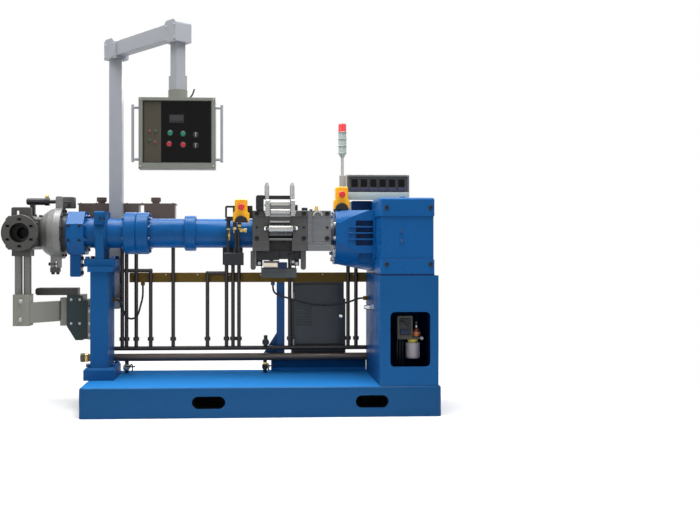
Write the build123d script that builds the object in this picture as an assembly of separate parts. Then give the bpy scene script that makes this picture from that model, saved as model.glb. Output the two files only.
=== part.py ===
from build123d import *
import os
from math import cos, sin, radians, pi, tan

# Silicone extruder on a blue steel plinth, with a cross-head on a carrier arm,
# a roller feed block, a gear reducer on a sheet stand and a hanging operator panel.
# Millimetres. +X runs along the barrel from the head to the gear reducer,
# +Y points away from the operator, +Z is up.
# The origin is the middle of the plinth's underside.

# Fits
pin_gap = 0.3
seat_gap = 0.3
run_gap = 5.0

# Plinth
plinth_length = 2080.0
plinth_depth = 700.0
plinth_height = 176.0
plinth_corner_radius = 28.0
plinth_edge_radius = 14.0
fork_slot_length = 190.0
fork_slot_height = 72.0
fork_slot_centre_z = 88.0
fork_slot_left_x = -303.0
fork_slot_right_x = 636.0

# Extruder axis
axis_y = 60.0
axis_z = 1060.0

# Barrel, measured along X from the feed block towards the head
feed_left_x = -51.0
barrel_diameter = 180.0
rear_barrel_length = 633.0
flange_length = 73.5
flange_height = 39.0
flange_chamfer = 5.0
front_barrel_length = 234.0
collar_x = -466.0
collar_length = 70.0
collar_wall = 19.0
collar_chamfer = 6.0
head_flange_length = 106.0
head_flange_wall = 41.0
head_flange_sides = 8
head_flange_chamfer = 6.0
head_lug_inset = 10.0
head_lug_width = 66.0
head_lug_depth = 72.0
head_lug_bottom_z = 794.0
head_lug_radius = 10.0

# Head clamp and cross-head
neck_length = 32.0
neck_diameter = 236.0
clamp_ring_length = 132.0
clamp_ring_diameter = 312.0
clamp_ring_nose_diameter = 190.0
clamp_ring_profile = [(0, 0), (0.16, 0.42), (0.42, 0.80), (0.72, 1), (1, 1)]
clamp_hinge_radius = 12.0
clamp_hinge_width = 60.0
clamp_hinge_depth = 76.0
clamp_hinge_top_z = 1284.0
clamp_hinge_overhang = 16.0
clamp_lug_inset = 12.0
clamp_lug_width = 58.0
clamp_lug_depth = 50.0
clamp_lug_offset = 35.0
clamp_lug_bottom_z = 850.0
clamp_lug_slit = 40.0
clamp_lug_slit_width = 14.0
clamp_lug_root_share = 0.87
clamp_cylinder_diameter = 42.0
clamp_cylinder_length = 184.0
clamp_cylinder_radius = 12.0
clamp_collar_diameter = 50.0
clamp_cylinder_z = 1253.0
clamp_rod_length = 46.0
clamp_rod_diameter = 24.0
clamp_rest_inset = 24.0
clamp_rest_width = 28.0
head_width = 172.0
head_height = 200.0
head_front_y = -128.0
head_back_y = 170.0
head_chamfer = 18.0
head_foot_height = 38.0
head_foot_width = 108.0
head_foot_depth = 100.0
die_flange_diameter = 216.0
die_flange_thickness = 22.0
die_flange_chamfer = 3.0
die_bore_radius = 58.0
die_bore_depth = 70.0
flow_bore_radius = 34.0
flow_bore_depth = 90.0
die_bolt_circle = 158.0
die_bolt_hole_radius = 8.0
die_bolt_count = 6
lift_loop_length = 114.0
lift_loop_height = 52.0
lift_loop_depth = 40.0
lift_loop_slot = 22.0
lift_loop_setback = 20.0
lift_loop_post = 24.0
lift_loop_bar = 20.0
lift_loop_radius = 12.0

# Cross-head carrier arm
carrier_y = -60.0
column_pin_diameter = 46.0
column_pin_pitch = 52.0
carrier_bracket_width = 100.0
carrier_bracket_depth = 110.0
carrier_bracket_top_z = 694.0
carrier_bracket_bottom_z = 508.0
carrier_bracket_radius = 14.0
arm_height = 120.0
arm_thickness = 62.0
arm_mid_z = 584.0
arm_trim_length = 60.0
pivot_post_width = 48.0
pivot_post_depth = 96.0
pivot_post_top_z = 664.0
pivot_post_bottom_z = 494.0
pivot_post_radius = 10.0
arm_box_length = 96.0
arm_box_depth = 150.0
arm_box_top_z = 682.0
arm_box_bottom_z = 408.0
arm_box_slope_height = 84.0
arm_box_slope_length = 52.0
arm_flange_thickness = 30.0
arm_flange_low_margin = 6.0
arm_flange_high_margin = 30.0
mount_plate_top_z = 610.0
mount_plate_bottom_z = 412.0
mount_plate_margin = 2.0
carrier_box_y = 100.0
cover_arm_height = 44.0
cover_arm_depth = 70.0
cover_arm_overlap = 66.0
cover_arm_chamfer = 10.0

# Left column and saddle
column_width = 106.0
column_depth = 250.0
column_left_x = -1024.0
column_front_y = -60.0
column_foot_width = 182.0
column_foot_depth = 290.0
column_foot_height = 74.0
column_foot_chamfer = 12.0
column_cap_thickness = 32.0
column_cap_overhang = 30.0
column_top_z = 858.0
saddle_base_thickness = 44.0
saddle_base_length = 190.0
saddle_base_depth = 230.0
saddle_base_radius = 22.0
saddle_width = 74.0
saddle_web_width = 50.0
saddle_wall = 21.0
saddle_split_z = 1068.0
saddle_block_width = 60.0
saddle_block_top_z = 1192.0
saddle_block_overhang = 12.0
saddle_block_radius = 14.0
saddle_block_share = 0.55

# Gear reducer, its stand and the bearing lantern
stand_left_x = 681.0
stand_length = 343.0
stand_depth = 600.0
stand_front_y = -345.0
stand_top_z = 812.0
stand_wall = 8.0
stand_corner_radius = 10.0
stand_window_left_x = 742.0
stand_window_length = 232.0
stand_window_bottom_z = 286.0
stand_window_top_z = 602.0
stand_window_radius = 26.0
lube_inset = 56.0
lube_setback = 90.0
lube_shelf_z = 435.0
lube_shelf_thickness = 12.0
lube_shelf_length = 150.0
lube_shelf_depth = 90.0
lube_frame_width = 90.0
lube_frame_depth = 70.0
lube_frame_height = 125.0
lube_frame_rim = 12.0
lube_frame_radius = 6.0
lube_dome_offset = 118.0
lube_dome_diameter = 50.0
lube_dome_height = 45.0
lube_nipple_diameter = 18.0
lube_nipple_height = 44.0
lube_tank_offset = 98.0
lube_tank_diameter = 84.0
lube_tank_height = 94.0
lube_tank_radius = 12.0
lube_cap_diameter = 56.0
lube_cap_height = 23.0
gearbox_left_x = 684.0
gearbox_length = 317.0
gearbox_top_z = 1263.0
gearbox_lid_height = 108.0
gearbox_band_height = 92.0
gearbox_waist = 7.0
gearbox_edge_radius = 16.0
gearbox_lobe_length = 118.0
gearbox_lobe_height = 62.0
gearbox_lobe_offset = 20.0
gearbox_lobe_margin = 40.0
gearbox_lobe_radius = 10.0
lantern_left_x = 450.0
lantern_left_radius = 192.0
lantern_right_radius = 236.0
lantern_top_z = 1198.0
lantern_side = 182.0
lantern_flange_thickness = 26.0
lantern_window_height = 150.0
lantern_window_length = 104.0
lantern_window_inset = 10.0
lantern_rib_count = 3
lantern_rib_thickness = 9.0
lantern_rib_proud = 7.0
lantern_rib_run_out = 46.0
lantern_window_depth = 50.0
lantern_drain_length = 84.0
lantern_drain_bottom_z = 872.0
lantern_drain_top_z = 938.0

# Feed block
feed_front_y = -100.0
feed_back_y = 210.0
feed_bottom_z = 952.0
feed_top_z = 1195.0
feed_main_length = 334.0
feed_side_length = 139.0
feed_side_recess = 14.0
feed_side_cheek = 22.0
feed_side_sill = 50.0
feed_arch_offset = 59.0
feed_arch_radius = 30.0
feed_arch_width = 9.0
feed_arch_proud = 10.0
feed_side_rail_height = 35.0
feed_side_rail_proud = 8.0
feed_slot_left_x = 44.0
feed_slot_right_x = 192.0
feed_slot_depth = 92.0
feed_slot_bottom_z = 1027.0
feed_slot_top_z = 1108.0
feed_pocket_inset = 6.0
feed_pocket_drop = 14.0
feed_strip_height = 37.0
feed_strip_proud = 10.0
feed_strip_chamfer = 2.0
feed_neck_diameter = 150.0

# Feed rollers
side_plate_thickness = 24.0
side_plate_left_inner_x = 50.0
side_plate_right_inner_x = 177.0
side_plate_top_z = 1258.0
side_plate_depth = 60.0
side_plate_y = -142.0
side_plate_radius = 10.0
guide_roller_diameter = 36.0
guide_roller_pin_diameter = 14.0
guide_roller_upper_z = 1237.0
guide_roller_lower_z = 1188.0
press_roller_diameter = 44.0
press_roller_z = 1086.0
press_roller_y = -126.0
press_lug_thickness = 12.0
press_lug_gap = 4.0
press_lug_height = 36.0
press_lug_nose = 18.0
feed_drum_diameter = 50.0
feed_drum_z = 1058.0
feed_drum_y = -70.0
roller_pin_length = 12.0
roller_chamfer = 1.5
guide_post_diameter = 28.0
guide_post_top_z = 1364.0
guide_post_tip_diameter = 12.0
guide_post_tip_height = 26.0
guide_post_offset = 4.0
guide_back_thickness = 6.0
roller_motor_width = 46.0
roller_motor_depth = 100.0
roller_motor_y = -110.0
roller_motor_top_z = 1284.0
roller_motor_radius = 12.0
motor_bar_bottom_z = 1262.0
motor_bar_depth = 14.0
motor_bar_y = -117.0

# Under the feed block
hanger_width = 32.0
hanger_thickness = 16.0
hanger_setback = 20.0
hanger_left_overhang = 12.0
hanger_right_inset = 11.0
hanger_bottom_z = 838.0
scraper_left_x = 16.0
scraper_length = 95.0
scraper_top_z = 892.0
scraper_bottom_z = 852.0
scraper_depth = 46.0
scraper_stem_width = 24.0
scraper_radius = 6.0
tray_left_x = 3.0
tray_right_x = 216.0
tray_top_z = 846.0
tray_bottom_z = 790.0
tray_depth = 190.0
tray_front_y = -70.0
tray_wall = 4.0
tray_strap_width = 40.0

# Emergency stops
stop_box_width = 98.0
stop_box_top_width = 76.0
stop_box_height = 138.0
stop_box_skirt_height = 54.0
stop_box_depth = 58.0
stop_box_corner = 11.0
stop_box_chamfer = 3.0
stop_cover_width = 80.0
stop_cover_depth = 9.0
stop_plate_thickness = 6.0
stop_plate_left_x = -216.0
stop_plate_bottom_z = 1147.0
stop_plate_top_z = 1224.0
stop_plate_border = 12.0
stop_plate_y = -92.0
stop_left_x = -119.0
stop_left_bottom_z = 1122.0
stop_right_x = 490.0
stop_right_y = -72.0
stop_button_diameter = 40.0
stop_button_height = 26.0
stop_button_radius = 6.0
stop_stem_diameter = 24.0
stop_button_share = 0.66
stop_base_height = 5.0

# Temperature controllers and signal tower
controller_left_x = 527.0
controller_length = 389.0
controller_height = 137.0
controller_depth = 150.0
controller_front_y = 0.0
controller_foot_height = 20.0
controller_foot_width = 28.0
controller_foot_setback = 20.0
controller_foot_left_inset = 40.0
controller_foot_right_inset = 30.0
controller_recess = 6.0
controller_rim = 14.0
controller_module_width = 48.0
controller_module_height = 96.0
controller_module_thickness = 10.0
controller_module_pitch = 58.0
tower_tube_size = 36.0
tower_tube_height = 137.0
tower_pole_diameter = 19.0
tower_pole_length = 112.0
tower_lamp_diameter = 50.0
tower_lamp_height = 130.0
tower_red_height = 56.0
tower_taper_height = 26.0
tower_taper_rim = 2.0
tower_lens_radius = 8.0

# Mast, boom and operator panel
mast_size = 80.0
mast_x = -919.0
mast_y = 280.0
mast_bottom_z = 590.0
mast_bracket_height = 70.0
mast_bracket_low_z = 620.0
mast_bracket_high_z = 770.0
mast_bracket_inset = 10.0
boom_height = 88.0
boom_width = 66.0
boom_length = 691.0
boom_heading = -51.0
boom_mid_z = 2232.0
knuckle_size = 112.0
knuckle_height = 128.0
knuckle_radius = 26.0
knuckle_drop = 10.0
drop_tube_size = 62.0
drop_tube_bottom_z = 1968.0
swivel_sleeve_size = 76.0
swivel_sleeve_bottom_z = 1884.0
swivel_collar_diameter = 112.0
panel_width = 438.0
panel_height = 410.0
panel_depth = 130.0
panel_top_z = 1834.0
panel_rim = 22.0
panel_rim_top = 17.6
panel_rim_bottom = 35.2
panel_window_thickness = 4.0
panel_recess = 14.0
panel_chamfer = 34.0
panel_handle_diameter = 16.0
panel_handle_reach = 36.0
panel_handle_height = 330.0
panel_handle_setback = 24.0
panel_button_columns = 3
panel_button_rows = 2
panel_button_diameter = 26.0
panel_button_proud = 12.0
panel_button_pitch_x = 78.0
panel_button_pitch_z = 62.0
panel_button_first_x = -44.0
panel_button_low_z = -58.0

# Pipework behind the barrel
manifold_y = 226.0
manifold_diameter = 48.0
manifold_left_x = -1134.0
manifold_z = 275.0
upper_manifold_diameter = 27.0
upper_manifold_z = 332.0
upper_manifold_left_x = -923.0
riser_diameter = 24.0
riser_elbow_diameter = 27.0
riser_top_z = 1004.0
union_diameter = 38.0
union_height = 22.0
union_z = 392.0
barrel_riser_x = [-874.0, -847.0, -786.0, -553.0]
left_loop_riser_x = -695.0
left_loop_top_x = -863.0
left_loop_z = 825.0
right_loop_riser_x = -336.0
right_loop_z = 809.0
valve_riser_x = [-215.0, -174.0, -136.0]
valve_block_bottom_z = 862.0
feed_riser_x = 188.0
lantern_riser_x = [562.0, 613.0]
drain_valve_x = [-845.0, 30.0]
drain_valve_diameter = 40.0
drain_valve_reach = 34.0
drain_valve_back = 20.0
valve_chamfer = 4.0
drain_lever_length = 58.0
drain_lever_thickness = 6.0
drain_lever_width = 8.0
ball_valve_x = 34.0
ball_valve_diameter = 44.0
ball_valve_depth = 46.0
ball_valve_stem_height = 22.0
valve_block_side = 24.0
valve_block_front = 26.0
valve_block_top_z = 1040.0
valve_arm_inset = 30.0
valve_arm_height = 30.0

# Hoses in front of the barrel, from fittings under the left stop box to a block
hose_x = [-196.0, -158.0, -130.0]
hose_y = -62.0
hose_diameter = 17.0
hose_fitting_diameter = 24.0
hose_fitting_length = 46.0
hose_bow = 5.0
hose_shelf_thickness = 12.0
hose_shelf_margin = 14.0
hose_block_side = 26.0
hose_block_depth = 48.0
hose_block_chamfer = 5.0
hose_block_bottom_z = 866.0
hose_block_top_z = 942.0
hose_arm_bottom_z = 880.0
hose_arm_height = 50.0
hose_arm_width = 40.0

# Hanging cables, each a route of points from its first gland to its second
cable_diameter = 12.0
gland_diameter = 26.0
sagging_cable_route = [(81, 262, 730), (81, 262, 704), (93, 248, 678), (126, 222, 662),
                       (180, 198, 650), (240, 181, 632), (310, 169, 614), (397, 160, 605),
                       (500, 155, 611), (575, 151, 632), (620, 150, 652), (650, 150, 652)]
hose_loop_route = [(-748, 258, 730), (-748, 258, 704), (-746, 241, 670), (-748, 215, 638),
                   (-756, 194, 603), (-763, 181, 567), (-776, 174, 535), (-808, 167, 522),
                   (-840, 158, 535), (-853, 150, 567), (-859, 141, 598), (-867, 132, 623),
                   (-878, 126, 640), (-892, 125, 648), (-905, 125, 648)]

# Cable trunk and its leg
trunk_depth = 60.0
trunk_height = 60.0
trunk_drop = 2.0
trunk_left_x = -831.0
trunk_front_y = 240.0
trunk_leg_width = 50.0
trunk_leg_x = 131.0
trunk_leg_y = 276.0
trunk_leg_depth = 44.0
trunk_gusset = 96.0
trunk_gusset_thickness = 10.0
trunk_gusset_height = 150.0
rear_rail_left_x = 71.0
rear_rail_height = 96.0
rear_rail_edge_radius = 8.0

# Heating cabinet and tanks behind the machine
cabinet_left_x = 200.0
cabinet_length = 350.0
cabinet_front_y = 258.0
cabinet_depth = 84.0
cabinet_hood_height = 110.0
cabinet_hood_inset = 10.0
cabinet_corner_radius = 6.0
tank_depth = 130.0
tank_bottom_z = 1040.0
tank_top_z = 1246.0
tank_left_x = -1172.0
tank_left_length = 396.0
tank_gap = 22.0
tank_right_length = 210.0
tank_lid_thickness = 10.0
tank_cap_diameter = 64.0
tank_cap_height = 40.0
tank_cap_share = 0.36
tank_cap_flutes = 10
tank_cap_flute_radius = 5.0
tank_neck_diameter = 48.0
tank_neck_height = 12.0
tank_inset = 6.0
tank_corner_radius = 16.0

# Places worked out from the sizes
plinth_half_depth = plinth_depth / 2
barrel_radius = barrel_diameter / 2
collar_diameter = barrel_diameter + 2 * collar_wall
flange_diameter = barrel_diameter + 2 * flange_height
head_flange_across = barrel_diameter + 2 * head_flange_wall
saddle_outer_diameter = barrel_diameter + 2 * saddle_wall
flange_right_x = feed_left_x - rear_barrel_length
flange_mid_x = flange_right_x - flange_length
flange_left_x = flange_mid_x - flange_length
head_flange_right_x = flange_left_x - front_barrel_length
head_flange_left_x = head_flange_right_x - head_flange_length
neck_left_x = head_flange_left_x - neck_length
clamp_left_x = neck_left_x - clamp_ring_length
head_right_x = clamp_left_x
clamp_hinge_left_x = neck_left_x + clamp_hinge_overhang - clamp_hinge_width
head_left_x = head_right_x - head_width
head_x = (head_left_x + head_right_x) / 2
column_right_x = column_left_x + column_width
column_x = column_left_x + column_width / 2
column_mid_y = column_front_y + column_depth / 2
column_back_y = column_front_y + column_depth
feed_main_right_x = feed_left_x + feed_main_length
feed_right_x = feed_main_right_x + feed_side_length
stand_right_x = stand_left_x + stand_length
controller_module_count = int((controller_length - 2 * controller_rim) // controller_module_pitch)
trunk_bottom_z = stand_top_z - trunk_drop - trunk_height
rear_rail_top_z = plinth_height + rear_rail_height
gearbox_right_x = gearbox_left_x + gearbox_length
mast_top_z = boom_mid_z - knuckle_height / 2 - seat_gap


def block(x0, x1, y0, y1, z0, z1):
    """A box between two corners."""
    centre = ((x0 + x1) / 2, (y0 + y1) / 2, (z0 + z1) / 2)
    return Pos(*centre) * Box(abs(x1 - x0), abs(y1 - y0), abs(z1 - z0))


def rod_x(x0, x1, y, z, diameter):
    """A round bar along X."""
    return Pos((x0 + x1) / 2, y, z) * Rot(0, 90, 0) * Cylinder(diameter / 2, abs(x1 - x0))


def rod_y(y0, y1, x, z, diameter):
    """A round bar along Y."""
    return Pos(x, (y0 + y1) / 2, z) * Rot(90, 0, 0) * Cylinder(diameter / 2, abs(y1 - y0))


def rod_z(z0, z1, x, y, diameter):
    """A round bar along Z."""
    return Pos(x, y, (z0 + z1) / 2) * Cylinder(diameter / 2, abs(z1 - z0))


def slot_y(y0, y1, x, z, length, height):
    """A flat-sided slot with round ends, cut along Y."""
    profile = Plane.XZ * Pos(x, z) * SlotOverall(length, height)
    return Pos(0, max(y0, y1), 0) * extrude(profile, amount=abs(y1 - y0))


def turned_x(points):
    """A solid of revolution about the extruder axis, from (x, radius) points."""
    outline = [(x, 0) for x in (points[0][0],)] + list(points) + [(points[-1][0], 0)]
    face = Plane.XZ * make_face(Polyline(*outline, close=True))
    turned = revolve(face, axis=Axis.X)
    return Pos(0, axis_y, axis_z) * turned


def base_plinth():
    body = block(-plinth_length / 2, plinth_length / 2, -plinth_half_depth, plinth_half_depth,
                 0, plinth_height)
    body = fillet(body.edges().filter_by(Axis.Z), plinth_corner_radius)
    body = fillet(body.faces().sort_by(Axis.Z)[-1].edges(), plinth_edge_radius)
    for x in (fork_slot_left_x, fork_slot_right_x):
        body -= slot_y(-plinth_half_depth - 1, plinth_half_depth + 1, x, fork_slot_centre_z,
                       fork_slot_length, fork_slot_height)
    rail = block(rear_rail_left_x, stand_left_x, cabinet_front_y, cabinet_front_y + cabinet_depth,
                 plinth_height, rear_rail_top_z)
    rail = fillet(rail.edges().filter_by(Axis.X).group_by(Axis.Z)[-1], rear_rail_edge_radius)
    return body + rail


def left_column():
    foot_top = plinth_height + column_foot_height
    foot = block(column_x - column_foot_width / 2, column_x + column_foot_width / 2,
                 column_mid_y - column_foot_depth / 2, column_mid_y + column_foot_depth / 2,
                 plinth_height, foot_top)
    foot = chamfer(foot.faces().sort_by(Axis.Z)[-1].edges(), column_foot_chamfer)
    cap_bottom = column_top_z - column_cap_thickness
    post = block(column_left_x, column_right_x, column_front_y, column_back_y,
                 foot_top, cap_bottom)
    cap = block(column_left_x - column_cap_overhang / 2, column_right_x + column_cap_overhang,
                column_front_y - column_cap_overhang / 2, column_back_y,
                cap_bottom, column_top_z)
    return foot + post + cap


def saddle_ring():
    ring = rod_x(column_x - saddle_width / 2, column_x + saddle_width / 2, axis_y, axis_z,
                 saddle_outer_diameter)
    return ring - rod_x(column_x - saddle_width, column_x + saddle_width, axis_y, axis_z,
                        barrel_diameter + 2 * seat_gap)


def barrel_saddle():
    base_top = column_top_z + saddle_base_thickness
    base = block(column_x - saddle_base_length / 2, column_x + saddle_base_length / 2,
                 axis_y - saddle_base_depth / 2, axis_y + saddle_base_depth / 2,
                 column_top_z, base_top)
    base = fillet(base.edges().filter_by(Axis.Z), saddle_base_radius)
    web = block(column_x - saddle_web_width / 2, column_x + saddle_web_width / 2,
                axis_y - saddle_outer_diameter / 2, axis_y + saddle_outer_diameter / 2,
                base_top, axis_z)
    web -= rod_x(column_x - saddle_width, column_x + saddle_width, axis_y, axis_z,
                 barrel_diameter + 2 * seat_gap)
    lower = block(column_x - saddle_width, column_x + saddle_width,
                  axis_y - saddle_outer_diameter, axis_y + saddle_outer_diameter,
                  base_top, saddle_split_z)
    return base + (web + saddle_ring()) & (lower + base)


def saddle_cap():
    upper = block(column_x - saddle_width, column_x + saddle_width,
                  axis_y - saddle_outer_diameter, axis_y + saddle_outer_diameter,
                  saddle_split_z + seat_gap, saddle_block_top_z)
    lug = block(column_x - saddle_block_width / 2, column_x + saddle_block_width / 2,
                axis_y - saddle_outer_diameter / 2 - saddle_block_overhang,
                axis_y + saddle_outer_diameter / 2 + saddle_block_overhang,
                axis_z + barrel_radius * saddle_block_share, saddle_block_top_z)
    lug = fillet(lug.edges().filter_by(Axis.X), saddle_block_radius)
    lug -= rod_x(column_x - saddle_width, column_x + saddle_width, axis_y, axis_z,
                 barrel_diameter + 2 * seat_gap)
    return (saddle_ring() + lug) & upper


def gearbox_stand():
    outer = block(stand_left_x, stand_right_x, stand_front_y, stand_front_y + stand_depth,
                  plinth_height, stand_top_z)
    outer = fillet(outer.edges().filter_by(Axis.Z), stand_corner_radius)
    inner = block(stand_left_x + stand_wall, stand_right_x - stand_wall,
                  stand_front_y + stand_wall, stand_front_y + stand_depth - stand_wall,
                  plinth_height + stand_wall, stand_top_z - stand_wall)
    window_width = stand_window_length
    window_height = stand_window_top_z - stand_window_bottom_z
    profile = Plane.XZ * Pos(stand_window_left_x + window_width / 2,
                             (stand_window_top_z + stand_window_bottom_z) / 2)
    profile = profile * RectangleRounded(window_width, window_height, stand_window_radius)
    window = Pos(0, stand_front_y + stand_wall + 1, 0) * extrude(profile, amount=stand_wall + 2)
    return outer - inner - window


def lube_place():
    """The lower left front corner of the lubrication unit's shelf."""
    return Vector(stand_window_left_x + lube_inset, stand_front_y + lube_setback, lube_shelf_z)


def lube_pump():
    corner = lube_place()
    top = corner.Z + lube_shelf_thickness
    back = stand_front_y + stand_depth - stand_wall
    frame = block(corner.X, corner.X + lube_frame_width, corner.Y, corner.Y + lube_frame_depth,
                  top, top + lube_frame_height)
    frame = fillet(frame.edges().filter_by(Axis.Y), lube_frame_radius)
    frame -= block(corner.X + lube_frame_rim, corner.X + lube_frame_width - lube_frame_rim,
                   corner.Y - 1, corner.Y + lube_frame_rim,
                   top + lube_frame_rim, top + lube_frame_height - lube_frame_rim)
    shelf = block(corner.X, corner.X + lube_shelf_length, corner.Y,
                  corner.Y + lube_shelf_depth, corner.Z, top)
    rail = block(corner.X + lube_shelf_length / 5, corner.X + lube_shelf_length * 2 / 5,
                 corner.Y + lube_shelf_depth, back, corner.Z, top)
    dome_x = corner.X + lube_dome_offset
    dome_y = corner.Y + lube_dome_diameter * 0.7
    dome = rod_z(top, top + lube_dome_height, dome_x, dome_y, lube_dome_diameter)
    dome = fillet(dome.faces().sort_by(Axis.Z)[-1].edges(), lube_dome_diameter * 0.4)
    nipple = rod_z(top + lube_dome_height, top + lube_dome_height + lube_nipple_height,
                   dome_x, dome_y, lube_nipple_diameter)
    return frame + shelf + rail + dome + nipple


def lube_reservoir():
    corner = lube_place()
    x = corner.X + lube_tank_offset
    y = corner.Y + lube_tank_diameter / 2
    tank_top = corner.Z - lube_cap_height
    tank = rod_z(tank_top - lube_tank_height, tank_top, x, y, lube_tank_diameter)
    tank = fillet(tank.faces().sort_by(Axis.Z)[0].edges(), lube_tank_radius)
    cap = rod_z(tank_top, corner.Z, x, y, lube_cap_diameter)
    return tank + cap


def gearbox_housing():
    lid_bottom = gearbox_top_z - gearbox_lid_height
    band_top = stand_top_z + gearbox_band_height
    back_y = stand_front_y + stand_depth
    middle = block(gearbox_left_x + gearbox_waist, gearbox_right_x - gearbox_waist,
                   stand_front_y + gearbox_waist, back_y - gearbox_waist, band_top, lid_bottom)
    band = block(gearbox_left_x, gearbox_right_x, stand_front_y, back_y, stand_top_z, band_top)
    band = fillet(band.edges().filter_by(Axis.Z), gearbox_edge_radius)
    return band + middle


def gearbox_lid():
    lid_bottom = gearbox_top_z - gearbox_lid_height
    back_y = stand_front_y + stand_depth
    lid = block(gearbox_left_x, gearbox_right_x, stand_front_y, back_y, lid_bottom, gearbox_top_z)
    lid = fillet(lid.edges().filter_by(Axis.Z), gearbox_edge_radius)
    lid = fillet(lid.faces().sort_by(Axis.Z)[-1].edges(), gearbox_edge_radius)
    lobe = block(gearbox_left_x - gearbox_lobe_length, gearbox_left_x + gearbox_edge_radius,
                 axis_y + gearbox_lobe_offset, back_y - gearbox_lobe_margin,
                 gearbox_top_z - gearbox_lobe_height, gearbox_top_z)
    lobe = fillet(lobe.faces().sort_by(Axis.X)[0].edges(), gearbox_lobe_radius)
    return lid + lobe


def bearing_lantern():
    cone = turned_x([(lantern_left_x, lantern_left_radius),
                     (lantern_left_x + lantern_flange_thickness, lantern_left_radius),
                     (gearbox_left_x + gearbox_waist, lantern_right_radius)])
    hull = block(lantern_left_x, gearbox_left_x + gearbox_waist,
                 axis_y - lantern_side, axis_y + lantern_side,
                 axis_z - lantern_right_radius, lantern_top_z)
    shell = cone & hull
    window_right = gearbox_left_x - lantern_window_inset
    window_left = window_right - lantern_window_length
    for side in (-1, 1):
        y_face = axis_y + side * lantern_right_radius
        y_deep = axis_y + side * (lantern_side - lantern_window_depth)
        shell -= block(window_left, window_right, min(y_face, y_deep), max(y_face, y_deep),
                       axis_z - lantern_window_height / 2, axis_z + lantern_window_height / 2)
        pitch = lantern_window_height / (lantern_rib_count + 1)
        for i in range(lantern_rib_count):
            z = axis_z - lantern_window_height / 2 + pitch * (i + 1)
            y_rib = axis_y + side * (lantern_side + lantern_rib_proud)
            shell += block(window_left - lantern_rib_run_out, window_right,
                           min(y_rib, y_deep), max(y_rib, y_deep),
                           z - lantern_rib_thickness / 2, z + lantern_rib_thickness / 2)
        shell -= block(window_right - lantern_drain_length, window_right,
                       min(y_face, y_deep), max(y_face, y_deep),
                       lantern_drain_bottom_z, lantern_drain_top_z)
    relief = block(gearbox_left_x - 1, gearbox_left_x + gearbox_waist + 1,
                   axis_y - 2 * lantern_side, axis_y + 2 * lantern_side,
                   axis_z - 2 * lantern_side, stand_top_z + gearbox_band_height)
    lid_bottom = gearbox_top_z - gearbox_lid_height
    top_relief = block(gearbox_left_x, gearbox_left_x + gearbox_waist + 1,
                       axis_y - 2 * lantern_side, axis_y + 2 * lantern_side,
                       lid_bottom, gearbox_top_z)
    return shell - relief - top_relief


def feed_neck():
    return rod_x(feed_right_x, lantern_left_x, axis_y, axis_z, feed_neck_diameter)


def press_lug_left_x():
    return feed_slot_left_x - press_lug_gap - press_lug_thickness


def press_lug_right_x():
    return feed_slot_right_x + press_lug_gap


def press_lug(x0):
    """One of the two lugs on the front of the block that carry the pressing roller's pins."""
    front = press_roller_y - press_lug_nose
    body = block(x0, x0 + press_lug_thickness, front, feed_front_y,
                 press_roller_z - press_lug_height / 2, press_roller_z + press_lug_height / 2)
    body = fillet(body.edges().filter_by(Axis.X).group_by(Axis.Y)[0], press_lug_height * 0.4)
    return body - rod_x(x0 - 1, x0 + press_lug_thickness + 1, press_roller_y, press_roller_z,
                        guide_roller_pin_diameter + 2 * pin_gap)


def feed_block():
    body = block(feed_left_x, feed_main_right_x, feed_front_y, feed_back_y,
                 feed_bottom_z, feed_top_z)
    strip = block(feed_left_x, feed_main_right_x, feed_front_y - feed_strip_proud, feed_front_y,
                  feed_top_z - feed_strip_height, feed_top_z)
    table = block(side_plate_left_inner_x, side_plate_right_inner_x,
                  feed_front_y - feed_strip_proud, feed_front_y,
                  feed_slot_top_z, feed_top_z - feed_strip_height)
    strip = chamfer(strip.edges().filter_by(Axis.X).group_by(Axis.Y)[0], feed_strip_chamfer)
    body += strip + table
    body -= block(feed_slot_left_x, feed_slot_right_x,
                  feed_front_y - feed_strip_proud - 1, feed_front_y + feed_slot_depth,
                  feed_slot_bottom_z, feed_slot_top_z)
    body -= block(feed_slot_left_x + feed_pocket_inset, feed_slot_right_x - feed_pocket_inset,
                  feed_front_y - 1, feed_front_y + feed_slot_depth / 2,
                  feed_bottom_z - 1, feed_slot_bottom_z - feed_pocket_drop)
    body -= rod_x(feed_slot_left_x - roller_pin_length, feed_slot_right_x + roller_pin_length,
                  feed_drum_y, feed_drum_z, guide_roller_pin_diameter + 2 * pin_gap)
    return body + press_lug(press_lug_left_x()) + press_lug(press_lug_right_x())


def feed_side_block():
    body = block(feed_main_right_x, feed_right_x, feed_front_y, feed_back_y,
                 feed_bottom_z, feed_top_z)
    body -= block(feed_main_right_x + feed_side_cheek, feed_right_x + 1,
                  feed_front_y - 1, feed_front_y + feed_side_recess,
                  feed_bottom_z + feed_side_sill, feed_top_z + 1)
    rail = block(feed_main_right_x, feed_right_x, feed_front_y - feed_side_rail_proud,
                 feed_front_y, feed_bottom_z, feed_bottom_z + feed_side_rail_height)
    arch_x = feed_main_right_x + feed_arch_offset
    y0 = feed_front_y + feed_side_recess - feed_arch_proud
    y1 = feed_front_y + feed_side_recess
    outer = rod_y(y0, y1, arch_x, feed_top_z - feed_arch_radius, 2 * feed_arch_radius)
    inner = rod_y(y0 - 1, y1 + 1, arch_x, feed_top_z - feed_arch_radius,
                  2 * (feed_arch_radius - feed_arch_width))
    keep = block(arch_x - feed_arch_radius, arch_x + feed_arch_radius, y0, y1,
                 feed_top_z - feed_arch_radius, feed_top_z)
    return body + rail + ((outer - inner) & keep) + feed_neck()


def side_plate_places():
    return (side_plate_left_inner_x - side_plate_thickness, side_plate_right_inner_x)


def guide_post_places():
    """The middles of the two pointed posts, a little left of their plates' middles."""
    return [x0 + side_plate_thickness / 2 - guide_post_offset for x0 in side_plate_places()]


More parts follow.
